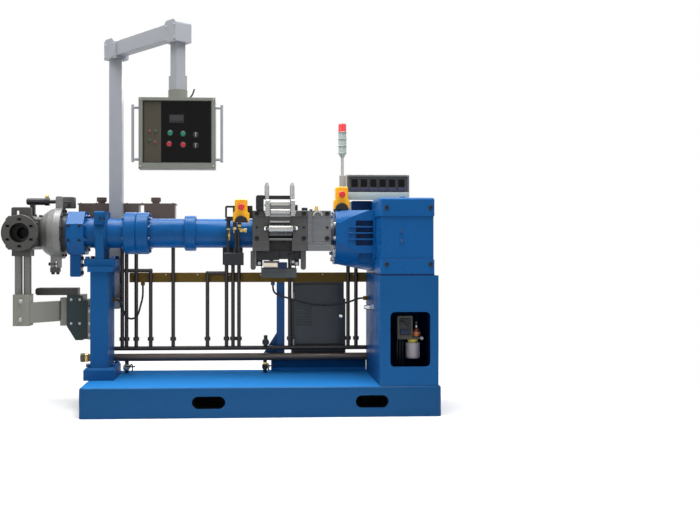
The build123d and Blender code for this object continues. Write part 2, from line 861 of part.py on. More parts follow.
def roller_side_plates():
    plates = []
    front = side_plate_y - side_plate_depth / 2
    back = feed_front_y - feed_strip_proud
    for x0 in side_plate_places():
        plate = block(x0, x0 + side_plate_thickness, front, back,
                      feed_top_z - feed_strip_height, side_plate_top_z)
        plate = fillet(plate.edges().filter_by(Axis.X).group_by(Axis.Y)[0], side_plate_radius)
        for z in (guide_roller_upper_z, guide_roller_lower_z):
            plate -= rod_x(x0 - 1, x0 + side_plate_thickness + 1, side_plate_y, z,
                           guide_roller_pin_diameter + 2 * pin_gap)
        plates.append(plate)
    return Compound(children=plates)


def roller(x0, x1, y, z, diameter, pin_length):
    drum = rod_x(x0 + run_gap, x1 - run_gap, y, z, diameter)
    drum = chamfer(drum.edges(), roller_chamfer)
    pin = rod_x(x0 - pin_length + pin_gap, x1 + pin_length - pin_gap, y, z,
                guide_roller_pin_diameter)
    return drum + pin


def guide_roller(z):
    return roller(side_plate_left_inner_x, side_plate_right_inner_x, side_plate_y, z,
                  guide_roller_diameter, side_plate_thickness)


def guide_roller_upper():
    return guide_roller(guide_roller_upper_z)


def guide_roller_lower():
    return guide_roller(guide_roller_lower_z)


def press_roller():
    return roller(press_lug_left_x() + press_lug_thickness, press_lug_right_x(),
                  press_roller_y, press_roller_z, press_roller_diameter, press_lug_thickness)


def feed_drum():
    return roller(feed_slot_left_x, feed_slot_right_x, feed_drum_y, feed_drum_z,
                  feed_drum_diameter, roller_pin_length)


def guide_post(x):
    tip_bottom = guide_post_top_z - guide_post_tip_height
    shaft = rod_z(side_plate_top_z, tip_bottom, x, side_plate_y, guide_post_diameter)
    tip = Pos(x, side_plate_y, tip_bottom + guide_post_tip_height / 2)
    tip = tip * Cone(guide_post_diameter / 2, guide_post_tip_diameter / 2, guide_post_tip_height)
    tip = fillet(tip.faces().sort_by(Axis.Z)[-1].edges(), guide_post_tip_diameter * 0.4)
    return shaft + tip


def strip_guide():
    posts = [guide_post(x) for x in guide_post_places()]
    back_y = feed_front_y - feed_strip_proud
    backing = block(side_plate_left_inner_x, side_plate_right_inner_x,
                    back_y - guide_back_thickness, back_y,
                    feed_top_z - feed_strip_height, side_plate_top_z)
    return Compound(children=posts + [backing])


def roller_motor():
    right = guide_post_places()[0] - guide_post_diameter / 2 - run_gap
    left = right - roller_motor_width
    body = block(left, right, roller_motor_y - roller_motor_depth / 2,
                 roller_motor_y + roller_motor_depth / 2,
                 feed_top_z, roller_motor_top_z)
    body = fillet(body.edges().filter_by(Axis.Y).group_by(Axis.X)[0], roller_motor_radius)
    bar = block(right, side_plate_right_inner_x, motor_bar_y - motor_bar_depth / 2,
                motor_bar_y + motor_bar_depth / 2, motor_bar_bottom_z, roller_motor_top_z)
    return body + bar


def feed_hangers():
    y0 = feed_front_y + hanger_setback
    y1 = y0 + hanger_thickness
    left_x = feed_left_x - hanger_left_overhang
    right_x = feed_main_right_x - hanger_right_inset - hanger_width
    solids = []
    for x0 in (left_x, right_x):
        bar = block(x0, x0 + hanger_width, y0, y1, hanger_bottom_z, feed_bottom_z)
        bar = fillet(bar.edges().filter_by(Axis.Y).group_by(Axis.Z)[0], hanger_width * 0.45)
        solids.append(bar)
    scraper = block(scraper_left_x, scraper_left_x + scraper_length, y0, y0 + scraper_depth,
                    scraper_bottom_z, scraper_top_z)
    scraper = fillet(scraper.edges().filter_by(Axis.X).group_by(Axis.Y)[0], scraper_radius)
    stem_x = scraper_left_x + (scraper_length - scraper_stem_width) / 2
    stem = block(stem_x, stem_x + scraper_stem_width, y0 + scraper_depth / 2, y0 + scraper_depth,
                 scraper_top_z, feed_bottom_z)
    return Compound(children=solids + [scraper + stem])


def drip_tray():
    tray = block(tray_left_x, tray_right_x, tray_front_y, tray_front_y + tray_depth,
                 tray_bottom_z, tray_top_z)
    tray -= block(tray_left_x + tray_wall, tray_right_x - tray_wall,
                  tray_front_y + tray_wall, tray_front_y + tray_depth - tray_wall,
                  tray_bottom_z + tray_wall, tray_top_z + 1)
    for x in (tray_left_x, tray_right_x - tray_wall):
        tray += block(x, x + tray_wall, tray_front_y + (tray_depth - tray_strap_width) / 2,
                      tray_front_y + (tray_depth + tray_strap_width) / 2,
                      tray_top_z, feed_bottom_z)
    return tray


def barrel_rear():
    return rod_x(flange_right_x, feed_left_x, axis_y, axis_z, barrel_diameter)


def barrel_front():
    return rod_x(head_flange_right_x, flange_left_x, axis_y, axis_z, barrel_diameter)


def barrel_collar():
    ring = rod_x(collar_x, collar_x + collar_length, axis_y, axis_z, collar_diameter)
    ring = chamfer(ring.edges(), collar_chamfer)
    return ring - rod_x(collar_x - 1, collar_x + collar_length + 1, axis_y, axis_z,
                        barrel_diameter + 2 * seat_gap)


def barrel_flange(x0, x1):
    disc = rod_x(x0, x1, axis_y, axis_z, flange_diameter)
    return chamfer(disc.edges(), flange_chamfer)


def head_flange():
    profile = Plane.YZ * Pos(axis_y, axis_z) * Rot(0, 0, 180 / head_flange_sides)
    profile = profile * RegularPolygon(head_flange_across / 2, head_flange_sides,
                                       major_radius=False)
    body = Pos(head_flange_left_x, 0, 0) * extrude(profile, amount=head_flange_length)
    lug_left = head_flange_left_x + head_lug_inset
    lug = block(lug_left, lug_left + head_lug_width, axis_y - head_lug_depth / 2,
                axis_y + head_lug_depth / 2, head_lug_bottom_z,
                axis_z - head_flange_across / 2 + 1)
    lug = fillet(lug.edges().filter_by(Axis.Y).group_by(Axis.Z)[0], head_lug_radius)
    return chamfer(body.faces().sort_by(Axis.X)[0].edges(), head_flange_chamfer) + lug


def head_neck():
    return rod_x(neck_left_x, head_flange_left_x, axis_y, axis_z, neck_diameter)


def head_clamp_ring():
    radius = clamp_ring_diameter / 2
    nose = clamp_ring_nose_diameter / 2
    ring = turned_x([(clamp_left_x + along * clamp_ring_length, nose + out * (radius - nose))
                     for along, out in clamp_ring_profile])
    hinge = block(clamp_hinge_left_x, neck_left_x, axis_y - clamp_hinge_depth / 2,
                  axis_y + clamp_hinge_depth / 2, axis_z + nose, clamp_hinge_top_z)
    hinge = fillet(hinge.edges().filter_by(Axis.Y).group_by(Axis.Z)[-1], clamp_hinge_radius)
    lug_right = neck_left_x - clamp_lug_inset
    lug_mid_y = axis_y - clamp_lug_offset
    lug = block(lug_right - clamp_lug_width, lug_right, lug_mid_y - clamp_lug_depth / 2,
                lug_mid_y + clamp_lug_depth / 2, clamp_lug_bottom_z,
                axis_z - radius * clamp_lug_root_share)
    slit_left = lug_right - (clamp_lug_width + clamp_lug_slit_width) / 2
    lug -= block(slit_left, slit_left + clamp_lug_slit_width,
                 lug_mid_y - clamp_lug_depth, lug_mid_y + clamp_lug_depth,
                 clamp_lug_bottom_z - 1, clamp_lug_bottom_z + clamp_lug_slit)
    return ring + hinge + lug


def clamp_cylinder():
    left = clamp_hinge_left_x - clamp_cylinder_length
    rod_left = clamp_hinge_left_x - clamp_rod_length
    body = rod_x(left, rod_left, axis_y, clamp_cylinder_z, clamp_cylinder_diameter)
    body = fillet(body.faces().sort_by(Axis.X)[0].edges(), clamp_cylinder_radius)
    collar = rod_x(rod_left - clamp_rod_diameter, rod_left, axis_y, clamp_cylinder_z,
                   clamp_collar_diameter)
    rod = rod_x(rod_left, clamp_hinge_left_x, axis_y, clamp_cylinder_z, clamp_rod_diameter)
    rest_x = left + clamp_rest_inset
    rest = block(rest_x, rest_x + clamp_rest_width, axis_y - clamp_rest_width / 2,
                 axis_y + clamp_rest_width / 2, axis_z + head_height / 2, clamp_cylinder_z)
    return body + collar + rod + rest


def cross_head_body():
    bottom = axis_z - head_height / 2
    top = axis_z + head_height / 2
    body = block(head_left_x, head_right_x, head_front_y, head_back_y, bottom, top)
    body = chamfer(body.edges().filter_by(Axis.Y), head_chamfer)
    foot = block(head_x - head_foot_width / 2, head_x + head_foot_width / 2,
                 carrier_y - head_foot_depth / 2, carrier_y + head_foot_depth / 2,
                 bottom - head_foot_height, bottom + 1)
    body += foot
    loop_z = top + lift_loop_height
    loop_y0 = head_front_y + lift_loop_setback
    loop_x0 = head_x - lift_loop_length / 2
    loop = block(loop_x0, loop_x0 + lift_loop_length,
                 loop_y0, loop_y0 + lift_loop_depth, top - 1, loop_z)
    loop = fillet(loop.edges().filter_by(Axis.Y).group_by(Axis.Z)[-1], lift_loop_radius)
    loop -= block(loop_x0 + lift_loop_post, loop_x0 + lift_loop_post + lift_loop_slot,
                  loop_y0 - 1, loop_y0 + lift_loop_depth + 1, top, loop_z - lift_loop_bar)
    body += loop
    bore_end = head_front_y + die_bore_depth - die_flange_thickness
    body -= rod_y(head_front_y - 1, bore_end, head_x, axis_z, 2 * die_bore_radius)
    body -= rod_y(bore_end - 1, bore_end + flow_bore_depth, head_x, axis_z,
                  2 * flow_bore_radius)
    return body


def cross_head_flange():
    face_y = head_front_y - die_flange_thickness
    disc = rod_y(face_y, head_front_y, head_x, axis_z, die_flange_diameter)
    disc = chamfer(disc.edges().group_by(Axis.Y)[0], die_flange_chamfer)
    disc -= rod_y(face_y - 1, head_front_y + 1, head_x, axis_z, 2 * die_bore_radius)
    for i in range(die_bolt_count):
        angle = radians(90 + 360 / die_bolt_count * i)
        disc -= rod_y(face_y - 1, head_front_y + 1, head_x + die_bolt_circle / 2 * cos(angle),
                      axis_z + die_bolt_circle / 2 * sin(angle), 2 * die_bolt_hole_radius)
    return disc


def head_columns():
    top = axis_z - head_height / 2 - head_foot_height
    pins = [rod_z(carrier_bracket_top_z, top, head_x + side * column_pin_pitch / 2, carrier_y,
                  column_pin_diameter) for side in (-1, 1)]
    return Compound(children=pins)


def carrier_bracket():
    body = block(head_x - carrier_bracket_width / 2, head_x + carrier_bracket_width / 2,
                 carrier_y - carrier_bracket_depth / 2, carrier_y + carrier_bracket_depth / 2,
                 carrier_bracket_bottom_z, carrier_bracket_top_z)
    return fillet(body.edges().filter_by(Axis.Z), carrier_bracket_radius)


def arm_box_left():
    return column_left_x - 2 * arm_flange_thickness - arm_box_length


def carrier_arm():
    start = Vector(head_x + carrier_bracket_width / 2, carrier_y, arm_mid_z)
    post_x = arm_box_left() - pivot_post_width / 2
    end = Vector(post_x, carrier_box_y, arm_mid_z)
    line = end - start
    heading = Vector(1, 0, 0).get_signed_angle(line, Vector(0, 0, 1))
    bar = Box(line.length + arm_trim_length, arm_thickness, arm_height)
    bar = Pos(*((start + end) / 2)) * Rot(0, 0, heading) * bar
    keep = block(head_x + carrier_bracket_width / 2, post_x - pivot_post_width / 2,
                 carrier_y - plinth_depth, carrier_box_y + plinth_depth, 0, axis_z)
    cover = block(head_x + carrier_bracket_width / 2, arm_box_left() + cover_arm_overlap,
                  carrier_box_y - cover_arm_depth, carrier_box_y,
                  arm_box_top_z, arm_box_top_z + cover_arm_height)
    cover = chamfer(cover.edges().filter_by(Axis.Y).group_by(Axis.X)[0], cover_arm_chamfer)
    return Compound(children=[bar & keep, cover])


def pivot_post():
    left = arm_box_left() - pivot_post_width
    body = block(left, arm_box_left(), carrier_box_y - pivot_post_depth / 2,
                 carrier_box_y + pivot_post_depth / 2, pivot_post_bottom_z, pivot_post_top_z)
    return fillet(body.edges().filter_by(Axis.Z), pivot_post_radius)


def arm_box():
    left = arm_box_left()
    right = left + arm_box_length
    points = [(left, arm_box_top_z), (right, arm_box_top_z), (right, arm_box_bottom_z),
              (left + arm_box_slope_length, arm_box_bottom_z),
              (left, arm_box_bottom_z + arm_box_slope_height)]
    profile = Plane.XZ * make_face(Polyline(*points, close=True))
    body = Pos(0, carrier_box_y + arm_box_depth / 2, 0) * extrude(profile, amount=arm_box_depth)
    flange = block(right, right + arm_flange_thickness,
                   carrier_box_y - arm_box_depth / 2, carrier_box_y + arm_box_depth / 2,
                   arm_box_bottom_z + arm_flange_low_margin,
                   arm_box_top_z - arm_flange_high_margin)
    return body + flange


def arm_mount_plate():
    left = column_left_x - arm_flange_thickness
    return block(left, column_left_x, carrier_box_y - arm_box_depth / 2,
                 carrier_box_y + arm_box_depth / 2 - mount_plate_margin,
                 mount_plate_bottom_z, mount_plate_top_z)


def stop_box(x, front_y, bottom_z):
    """A box with a wide skirt and a narrower rounded top."""
    half = stop_box_width / 2
    top_half = stop_box_top_width / 2
    top_z = bottom_z + stop_box_height
    skirt_z = bottom_z + stop_box_skirt_height
    points = [(x - half, bottom_z), (x + half, bottom_z), (x + half, skirt_z),
              (x + top_half, skirt_z + (half - top_half)), (x + top_half, top_z),
              (x - top_half, top_z), (x - top_half, skirt_z + (half - top_half)),
              (x - half, skirt_z)]
    profile = Plane.XZ * make_face(Polyline(*points, close=True))
    body = Pos(0, front_y + stop_box_depth, 0) * extrude(profile, amount=stop_box_depth)
    body = fillet(body.edges().filter_by(Axis.Y), stop_box_corner)
    return chamfer(body.faces().sort_by(Axis.Y)[0].edges(), stop_box_chamfer)


def stop_cover(x, front_y, bottom_z):
    """The black half-round guard under a stop button."""
    disc = rod_y(front_y - stop_cover_depth, front_y, x, bottom_z, stop_cover_width)
    disc = fillet(disc.edges().group_by(Axis.Y)[0], stop_cover_depth * 0.5)
    return disc & block(x - stop_cover_width, x + stop_cover_width, front_y - stop_cover_depth,
                        front_y, bottom_z, bottom_z + stop_cover_width)


def stop_button(x, front_y, bottom_z):
    z = bottom_z + stop_box_height * stop_button_share
    stem = rod_y(front_y - stop_button_height / 2, front_y, x, z, stop_stem_diameter)
    head = rod_y(front_y - stop_button_height, front_y - stop_button_height / 2, x, z,
                 stop_button_diameter)
    head = fillet(head.faces().sort_by(Axis.Y)[0].edges(), stop_button_radius)
    return stem + head


def stop_bracket():
    """The open frame that carries the left stop box."""
    y0 = stop_plate_y
    y1 = stop_plate_y + stop_plate_thickness
    plate = block(stop_plate_left_x, feed_left_x, y0, y1, stop_plate_bottom_z, stop_plate_top_z)
    plate = fillet(plate.edges().filter_by(Axis.Y).group_by(Axis.X)[0], stop_plate_border)
    opening_left = stop_plate_left_x + stop_plate_border
    opening_right = stop_left_x - stop_box_top_width / 2 - stop_plate_border
    plate -= block(opening_left, opening_right, y0 - 1, y1 + 1,
                   stop_plate_bottom_z + stop_plate_border, stop_plate_top_z - stop_plate_border)
    shelf = block(stop_plate_left_x, hose_x[-1] + hose_shelf_margin, y0, hose_y
                  + hose_fitting_diameter / 2, stop_plate_bottom_z - hose_shelf_thickness,
                  stop_plate_bottom_z)
    return plate + shelf


def stop_left_front():
    return stop_plate_y - stop_box_depth


def stop_right_bottom():
    return lantern_top_z + stop_base_height


def stop_right_base():
    return block(stop_right_x - stop_box_width / 2, stop_right_x + stop_box_width / 2,
                 stop_right_y, stop_right_y + stop_box_depth, lantern_top_z,
                 stop_right_bottom())


def controller_box():
    bottom = gearbox_top_z + controller_foot_height
    x0, x1 = controller_left_x, controller_left_x + controller_length
    y0, y1 = controller_front_y, controller_front_y + controller_depth
    body = block(x0, x1, y0, y1, bottom, bottom + controller_height)
    body -= block(x0 + controller_rim, x1 - controller_rim, y0 - 1, y0 + controller_recess,
                  bottom + controller_rim, bottom + controller_height - controller_rim)
    half = controller_foot_width / 2
    for x in (gearbox_left_x + controller_foot_left_inset, x1 - controller_foot_right_inset):
        body += block(x - half, x + half, y0 + controller_foot_setback,
                      y1 - controller_foot_setback, gearbox_top_z, bottom)
    return body


def controller_modules():
    bottom = gearbox_top_z + controller_foot_height
    mid_x = controller_left_x + controller_length / 2
    mid_z = bottom + controller_height / 2
    y1 = controller_front_y + controller_recess
    modules = []
    for i in range(controller_module_count):
        x = mid_x + (i - (controller_module_count - 1) / 2) * controller_module_pitch
        modules.append(block(x - controller_module_width / 2, x + controller_module_width / 2,
                             y1 - controller_module_thickness, y1,
                             mid_z - controller_module_height / 2,
                             mid_z + controller_module_height / 2))
    return Compound(children=modules)


def tower_x():
    return controller_left_x - tower_tube_size / 2


def tower_y():
    return controller_front_y + controller_depth / 2


def tower_post():
    z0 = gearbox_top_z + controller_foot_height
    z1 = z0 + tower_tube_height
    half = tower_tube_size / 2
    tube = block(tower_x() - half, tower_x() + half, tower_y() - half, tower_y() + half, z0, z1)
    pole = rod_z(z1, z1 + tower_pole_length, tower_x(), tower_y(), tower_pole_diameter)
    return tube + pole


def tower_lamp_bottom():
    return (gearbox_top_z + controller_foot_height + tower_tube_height + tower_pole_length)


def tower_body():
    z0 = tower_lamp_bottom()
    z1 = z0 + tower_taper_height
    cone = Pos(tower_x(), tower_y(), (z0 + z1) / 2) * Cone(tower_pole_diameter / 2 + tower_taper_rim,
                                                          tower_lamp_diameter / 2,
                                                          tower_taper_height)
    return cone + rod_z(z1, z1 + tower_lamp_height, tower_x(), tower_y(), tower_lamp_diameter)


def tower_red_lens():
    z0 = tower_lamp_bottom() + tower_taper_height + tower_lamp_height
    lens = rod_z(z0, z0 + tower_red_height, tower_x(), tower_y(), tower_lamp_diameter)
    return fillet(lens.faces().sort_by(Axis.Z)[-1].edges(), tower_lens_radius)


def mast():
    half = mast_size / 2
    post = block(mast_x - half, mast_x + half, mast_y - half, mast_y + half,
                 mast_bottom_z, mast_top_z)
    for z in (mast_bracket_low_z, mast_bracket_high_z):
        post += block(column_left_x + mast_bracket_inset, mast_x + half - mast_bracket_inset,
                      column_back_y, mast_y - half,
                      z - mast_bracket_height / 2, z + mast_bracket_height / 2)
    return post


def boom_place():
    return Pos(mast_x, mast_y, boom_mid_z) * Rot(0, 0, boom_heading)


def boom():
    half = knuckle_size / 2
    mast_knuckle = Box(knuckle_size, knuckle_size, knuckle_height)
    bar = Pos(boom_length / 2, 0, 0) * Box(boom_length, boom_width, boom_height)
    end_knuckle = Pos(boom_length, 0, -knuckle_drop) * Box(knuckle_size, knuckle_size, knuckle_height)
    end_knuckle = fillet(end_knuckle.edges().filter_by(Axis.Y).group_by(Axis.Z)[-1], knuckle_radius)
    mast_knuckle = fillet(mast_knuckle.edges().filter_by(Axis.Y).group_by(Axis.Z)[-1], knuckle_radius)
    return boom_place() * (mast_knuckle + bar + end_knuckle)


def drop_tube():
    top = boom_mid_z - knuckle_drop - knuckle_height / 2
    tube = Box(drop_tube_size, drop_tube_size, top - drop_tube_bottom_z)
    sleeve = Box(swivel_sleeve_size, swivel_sleeve_size, drop_tube_bottom_z
                 - swivel_sleeve_bottom_z)
    return (boom_place() * Pos(boom_length, 0, (top + drop_tube_bottom_z) / 2 - boom_mid_z) * tube
            + boom_place() * Pos(boom_length, 0, (drop_tube_bottom_z + swivel_sleeve_bottom_z) / 2
                                 - boom_mid_z) * sleeve)


def panel_pivot():
    return Vector(mast_x + boom_length * cos(radians(boom_heading)),
                  mast_y + boom_length * sin(radians(boom_heading)), 0)


def panel_box():
    pivot = panel_pivot()
    x0, x1 = pivot.X - panel_width / 2, pivot.X + panel_width / 2
    y0, y1 = pivot.Y - panel_depth / 2, pivot.Y + panel_depth / 2
    body = block(x0, x1, y0, y1, panel_top_z - panel_height, panel_top_z)
    body = chamfer(body.edges().filter_by(Axis.X).group_by(Axis.Z)[0].sort_by(Axis.Y)[-1],
                   panel_chamfer)
    body -= block(x0 + panel_rim, x1 - panel_rim, y0 - 1, y0 + panel_recess,
                  panel_top_z - panel_height + panel_rim_bottom, panel_top_z - panel_rim_top)
    collar = rod_z(panel_top_z, swivel_sleeve_bottom_z - seat_gap, pivot.X, pivot.Y,
                   swivel_collar_diameter)
    return body + collar


def panel_window():
    pivot = panel_pivot()
    y0 = pivot.Y - panel_depth / 2 + panel_recess
    return block(pivot.X - panel_width / 2 + panel_rim, pivot.X + panel_width / 2 - panel_rim,
                 y0 - panel_window_thickness, y0, panel_top_z - panel_height + panel_rim_bottom,
                 panel_top_z - panel_rim_top)


def panel_buttons():
    pivot = panel_pivot()
    y1 = pivot.Y - panel_depth / 2 + panel_recess - panel_window_thickness
    mid_z = panel_top_z - panel_height / 2
    buttons = []
    for column in range(panel_button_columns):
        for row in range(panel_button_rows):
            x = pivot.X + panel_button_first_x + column * panel_button_pitch_x
            z = mid_z + panel_button_low_z + row * panel_button_pitch_z
            buttons.append(rod_y(y1 - panel_button_proud, y1, x, z, panel_button_diameter))
    return Compound(children=buttons)


def panel_handles():
    pivot = panel_pivot()
    mid_z = panel_top_z - panel_height / 2
    y = pivot.Y - panel_depth / 2 + panel_handle_setback
    half = panel_handle_diameter / 2
    handles = []
    for side in (-1, 1):
        wall = pivot.X + side * panel_width / 2
        x = wall + side * panel_handle_reach
        bar = rod_z(mid_z - panel_handle_height / 2, mid_z + panel_handle_height / 2,
                    x, y, panel_handle_diameter)
        for end in (-1, 1):
            z = mid_z + end * (panel_handle_height / 2 - panel_handle_diameter)
            bar += rod_x(wall, x, y, z, panel_handle_diameter)
        handles.append(bar)
    return Compound(children=handles)


def manifolds():
    lower = rod_x(manifold_left_x, stand_left_x, manifold_y, manifold_z, manifold_diameter)
    upper = rod_x(upper_manifold_left_x, stand_left_x, manifold_y, upper_manifold_z,
                  upper_manifold_diameter)
    return Compound(children=[lower, upper])


def riser_foot(x):
    """The lower end of a riser on the upper manifold, with its union nut."""
    start = upper_manifold_z + upper_manifold_diameter / 2
    nut = rod_z(union_z - union_height / 2, union_z + union_height / 2, x, manifold_y,
                union_diameter)
    return rod_z(start, union_z, x, manifold_y, riser_diameter) + nut


def riser_run(x, z0, z1):
    return rod_z(z0, z1, x, manifold_y, riser_diameter)


def riser_inlet(x, keep_out):
    """A forward run at the top of a riser that ends on the surface of what it feeds."""
    run = rod_y(axis_y, manifold_y, x, riser_top_z, riser_diameter)
    return run - keep_out + Pos(x, manifold_y, riser_top_z) * Sphere(riser_elbow_diameter / 2)


def riser_pipes():
    radial = 2 * seat_gap
    barrel = rod_x(head_flange_right_x, feed_left_x, axis_y, axis_z, barrel_diameter + radial)
    flanges = rod_x(flange_left_x - seat_gap, flange_right_x + seat_gap, axis_y, axis_z,
                    flange_diameter + radial)
    feed = block(feed_left_x, feed_right_x, feed_front_y, feed_back_y, feed_bottom_z, feed_top_z)
    solids = []
    for x in barrel_riser_x:
        solids.append(riser_foot(x) + riser_run(x, union_z, riser_top_z)
                      + riser_inlet(x, barrel + flanges))
    solids.append(riser_foot(feed_riser_x) + riser_run(feed_riser_x, union_z, riser_top_z)
                  + riser_inlet(feed_riser_x, feed))
    for x0, x1, z in ((left_loop_riser_x, left_loop_top_x, left_loop_z),
                      (right_loop_riser_x, valve_riser_x[0], right_loop_z)):
        solids.append(riser_foot(x0) + riser_run(x0, union_z, z)
                      + Pos(x0, manifold_y, z) * Sphere(riser_elbow_diameter / 2)
                      + rod_x(x0, x1, manifold_y, z, riser_diameter))
    for x in valve_riser_x:
        solids.append(riser_foot(x) + riser_run(x, union_z, valve_block_bottom_z))
    lantern = bearing_lantern()
    for x in lantern_riser_x:
        solids.append(riser_foot(x) + riser_run(x, union_z, axis_z) - lantern)
    return solids


def drain_valve(x):
    under = manifold_z - manifold_diameter / 2
    mid_z = (plinth_height + under) / 2
    front = manifold_y - drain_valve_reach
    stem = rod_z(plinth_height, under, x, manifold_y, riser_diameter)
    body = rod_y(front, manifold_y + drain_valve_back, x, mid_z, drain_valve_diameter)
    body = chamfer(body.faces().sort_by(Axis.Y)[0].edges(), valve_chamfer)
    lever = block(x - drain_lever_thickness, x + drain_lever_length,
                  front - drain_lever_thickness, front,
                  mid_z + drain_lever_width / 2, mid_z + 3 * drain_lever_width / 2)
    return stem + body + lever


def ball_valve(x):
    """The small valve that stands on the upper manifold."""
    bottom = upper_manifold_z + upper_manifold_diameter / 2 + seat_gap
    mid_z = bottom + ball_valve_diameter / 2
    body = rod_y(manifold_y - ball_valve_depth / 2, manifold_y + ball_valve_depth / 2, x, mid_z,
                 ball_valve_diameter)
    body = chamfer(body.edges(), valve_chamfer)
    top = mid_z + ball_valve_diameter / 2 + ball_valve_stem_height
    return body + rod_z(mid_z, top, x, manifold_y, riser_diameter)


def valve_block():
    left = valve_riser_x[0] - valve_block_side
    right = valve_riser_x[-1] + valve_block_side
    body = block(left, right, manifold_y - valve_block_front, manifold_y + drain_valve_back,
                 valve_block_bottom_z, valve_block_top_z)
    arm = block(left + valve_arm_inset, right - valve_arm_inset, axis_y, manifold_y,
                valve_block_top_z - valve_arm_height, valve_block_top_z)
    arm -= rod_x(flange_right_x, feed_left_x, axis_y, axis_z, barrel_diameter + 2 * seat_gap)
    return body + arm + hose_block()


def hose_block():
    """The distribution block in front of the barrel and its arm back to the valve block."""
    front = hose_y - hose_block_depth / 2
    body = block(hose_x[0] - hose_block_side, hose_x[-1] + hose_block_side,
                 front, front + hose_block_depth, hose_block_bottom_z, hose_block_top_z)
    body = chamfer(body.edges().filter_by(Axis.X), hose_block_chamfer)
    arm = block(hose_x[1] - hose_arm_width, hose_x[1], front + hose_block_depth,
                manifold_y - valve_block_front, hose_arm_bottom_z,
                hose_arm_bottom_z + hose_arm_height)
    return body + arm


def front_hose(x, side):
    """A short hose with its fitting; it bows a little to one side."""
    top = stop_plate_bottom_z - hose_shelf_thickness
    z1 = top - hose_fitting_length
    fitting = rod_z(z1, top, x, hose_y, hose_fitting_diameter)
    z0 = hose_block_top_z
    third = (z1 - z0) / 3
    route = [(x, hose_y, z0), (x + side * hose_bow, hose_y - hose_bow, z0 + third),
             (x + side * hose_bow, hose_y - hose_bow, z1 - third), (x, hose_y, z1)]
    return [fitting, hose_tube(route, hose_diameter)]


def pipe_valves():
    solids = [drain_valve(x) for x in drain_valve_x]
    solids.append(ball_valve(ball_valve_x))
    solids.append(valve_block())
    for x, side in zip(hose_x, (-1, 1, -1)):
        solids.extend(front_hose(x, side))
    return Compound(children=solids)


def hose_tube(points, diameter):
    """A round tube along straight runs, joined by arcs as large as the runs allow."""
    route = [Vector(*point) for point in points]
    radii = []
    for before, corner, after in zip(route, route[1:], route[2:]):
        run_in = corner - before
        run_out = after - corner
        half_turn = radians(run_in.get_angle(run_out)) / 2
        radii.append(0.45 * min(run_in.length, run_out.length) / tan(half_turn))
    line = FilletPolyline(*route, radius=radii)
    section = Plane(origin=line @ 0, z_dir=line % 0) * Circle(diameter / 2)
    tube = sweep(section, path=line)
    expected = pi * diameter ** 2 / 4 * line.length
    print(f"tube length {line.length:.1f}, volume share {tube.volume / expected:.4f},",
          f"smallest radius {min(radii):.1f}")
    return tube


def trunk_gland(route):
    """The gland under the cable trunk that a cable hangs from."""
    x, y, z = route[0]
    return rod_z(z, trunk_bottom_z, x, y, gland_diameter)


def wall_gland(route, wall_x):
    """The gland in a wall that a cable ends in."""
    x, y, z = route[-1]
    return rod_x(min(x, wall_x), max(x, wall_x), y, z, gland_diameter)


def cable_trunk():
    back = trunk_front_y + trunk_depth
    body = block(trunk_left_x, stand_left_x, trunk_front_y, back,
                 trunk_bottom_z, trunk_bottom_z + trunk_height)
    half = trunk_leg_width / 2
    y0 = trunk_leg_y - trunk_leg_depth / 2
    y1 = trunk_leg_y + trunk_leg_depth / 2
    leg = block(trunk_leg_x - half, trunk_leg_x + half, y0, y1, rear_rail_top_z, trunk_bottom_z)
    corner = trunk_leg_x - half
    gusset = Plane.XZ * make_face(Polyline((corner - trunk_gusset, rear_rail_top_z),
                                           (corner, rear_rail_top_z),
                                           (corner, rear_rail_top_z + trunk_gusset_height),
                                           close=True))
    gusset = Pos(0, trunk_leg_y + trunk_gusset_thickness, 0) * extrude(gusset,
                                                                      amount=trunk_gusset_thickness)
    solids = [body + leg + gusset + trunk_gland(sagging_cable_route) + trunk_gland(hose_loop_route)]
    solids.append(wall_gland(sagging_cable_route, stand_left_x))
    solids.append(wall_gland(hose_loop_route, column_right_x))
    return Compound(children=solids)


def heating_cabinet():
    x1 = cabinet_left_x + cabinet_length
    y1 = cabinet_front_y + cabinet_depth
    body = block(cabinet_left_x, x1, cabinet_front_y, y1, rear_rail_top_z,
                 trunk_bottom_z - cabinet_hood_height)
    hood = block(cabinet_left_x + cabinet_hood_inset, x1 - cabinet_hood_inset,
                 cabinet_front_y + cabinet_hood_inset, y1 - cabinet_hood_inset,
                 trunk_bottom_z - cabinet_hood_height, trunk_bottom_z)
    return fillet(body.edges().filter_by(Axis.Z), cabinet_corner_radius) + hood


def tank_cap(x, y):
    """A fluted filler cap on a short neck."""
    z = tank_top_z + tank_lid_thickness
    neck = rod_z(z, z + tank_neck_height, x, y, tank_neck_diameter)
    cap = rod_z(z + tank_neck_height, z + tank_cap_height, x, y, tank_cap_diameter)
    flute = rod_z(z + tank_neck_height, z + tank_cap_height, tank_cap_diameter / 2, 0,
                  2 * tank_cap_flute_radius)
    for i in range(tank_cap_flutes):
        cap -= Pos(x, y, 0) * Rot(0, 0, 360 / tank_cap_flutes * i) * flute
    return neck + cap


def rear_tanks():
    y0 = mast_y + mast_size / 2
    y1 = y0 + tank_depth
    left_end = tank_left_x + tank_left_length
    right_start = left_end + tank_gap
    right_end = right_start + tank_right_length
    shape = block(tank_left_x, right_end, y0, y1, tank_top_z, tank_top_z + tank_lid_thickness)
    for x0, x1 in ((tank_left_x, left_end), (right_start, right_end)):
        tank = block(x0 + tank_inset, x1 - tank_inset, y0, y1 - tank_inset,
                     tank_bottom_z, tank_top_z)
        shape += fillet(tank.edges().filter_by(Axis.Z).group_by(Axis.Y)[-1], tank_corner_radius)
        shape += tank_cap(x0 + (x1 - x0) * tank_cap_share, (y0 + y1) / 2)
    return shape


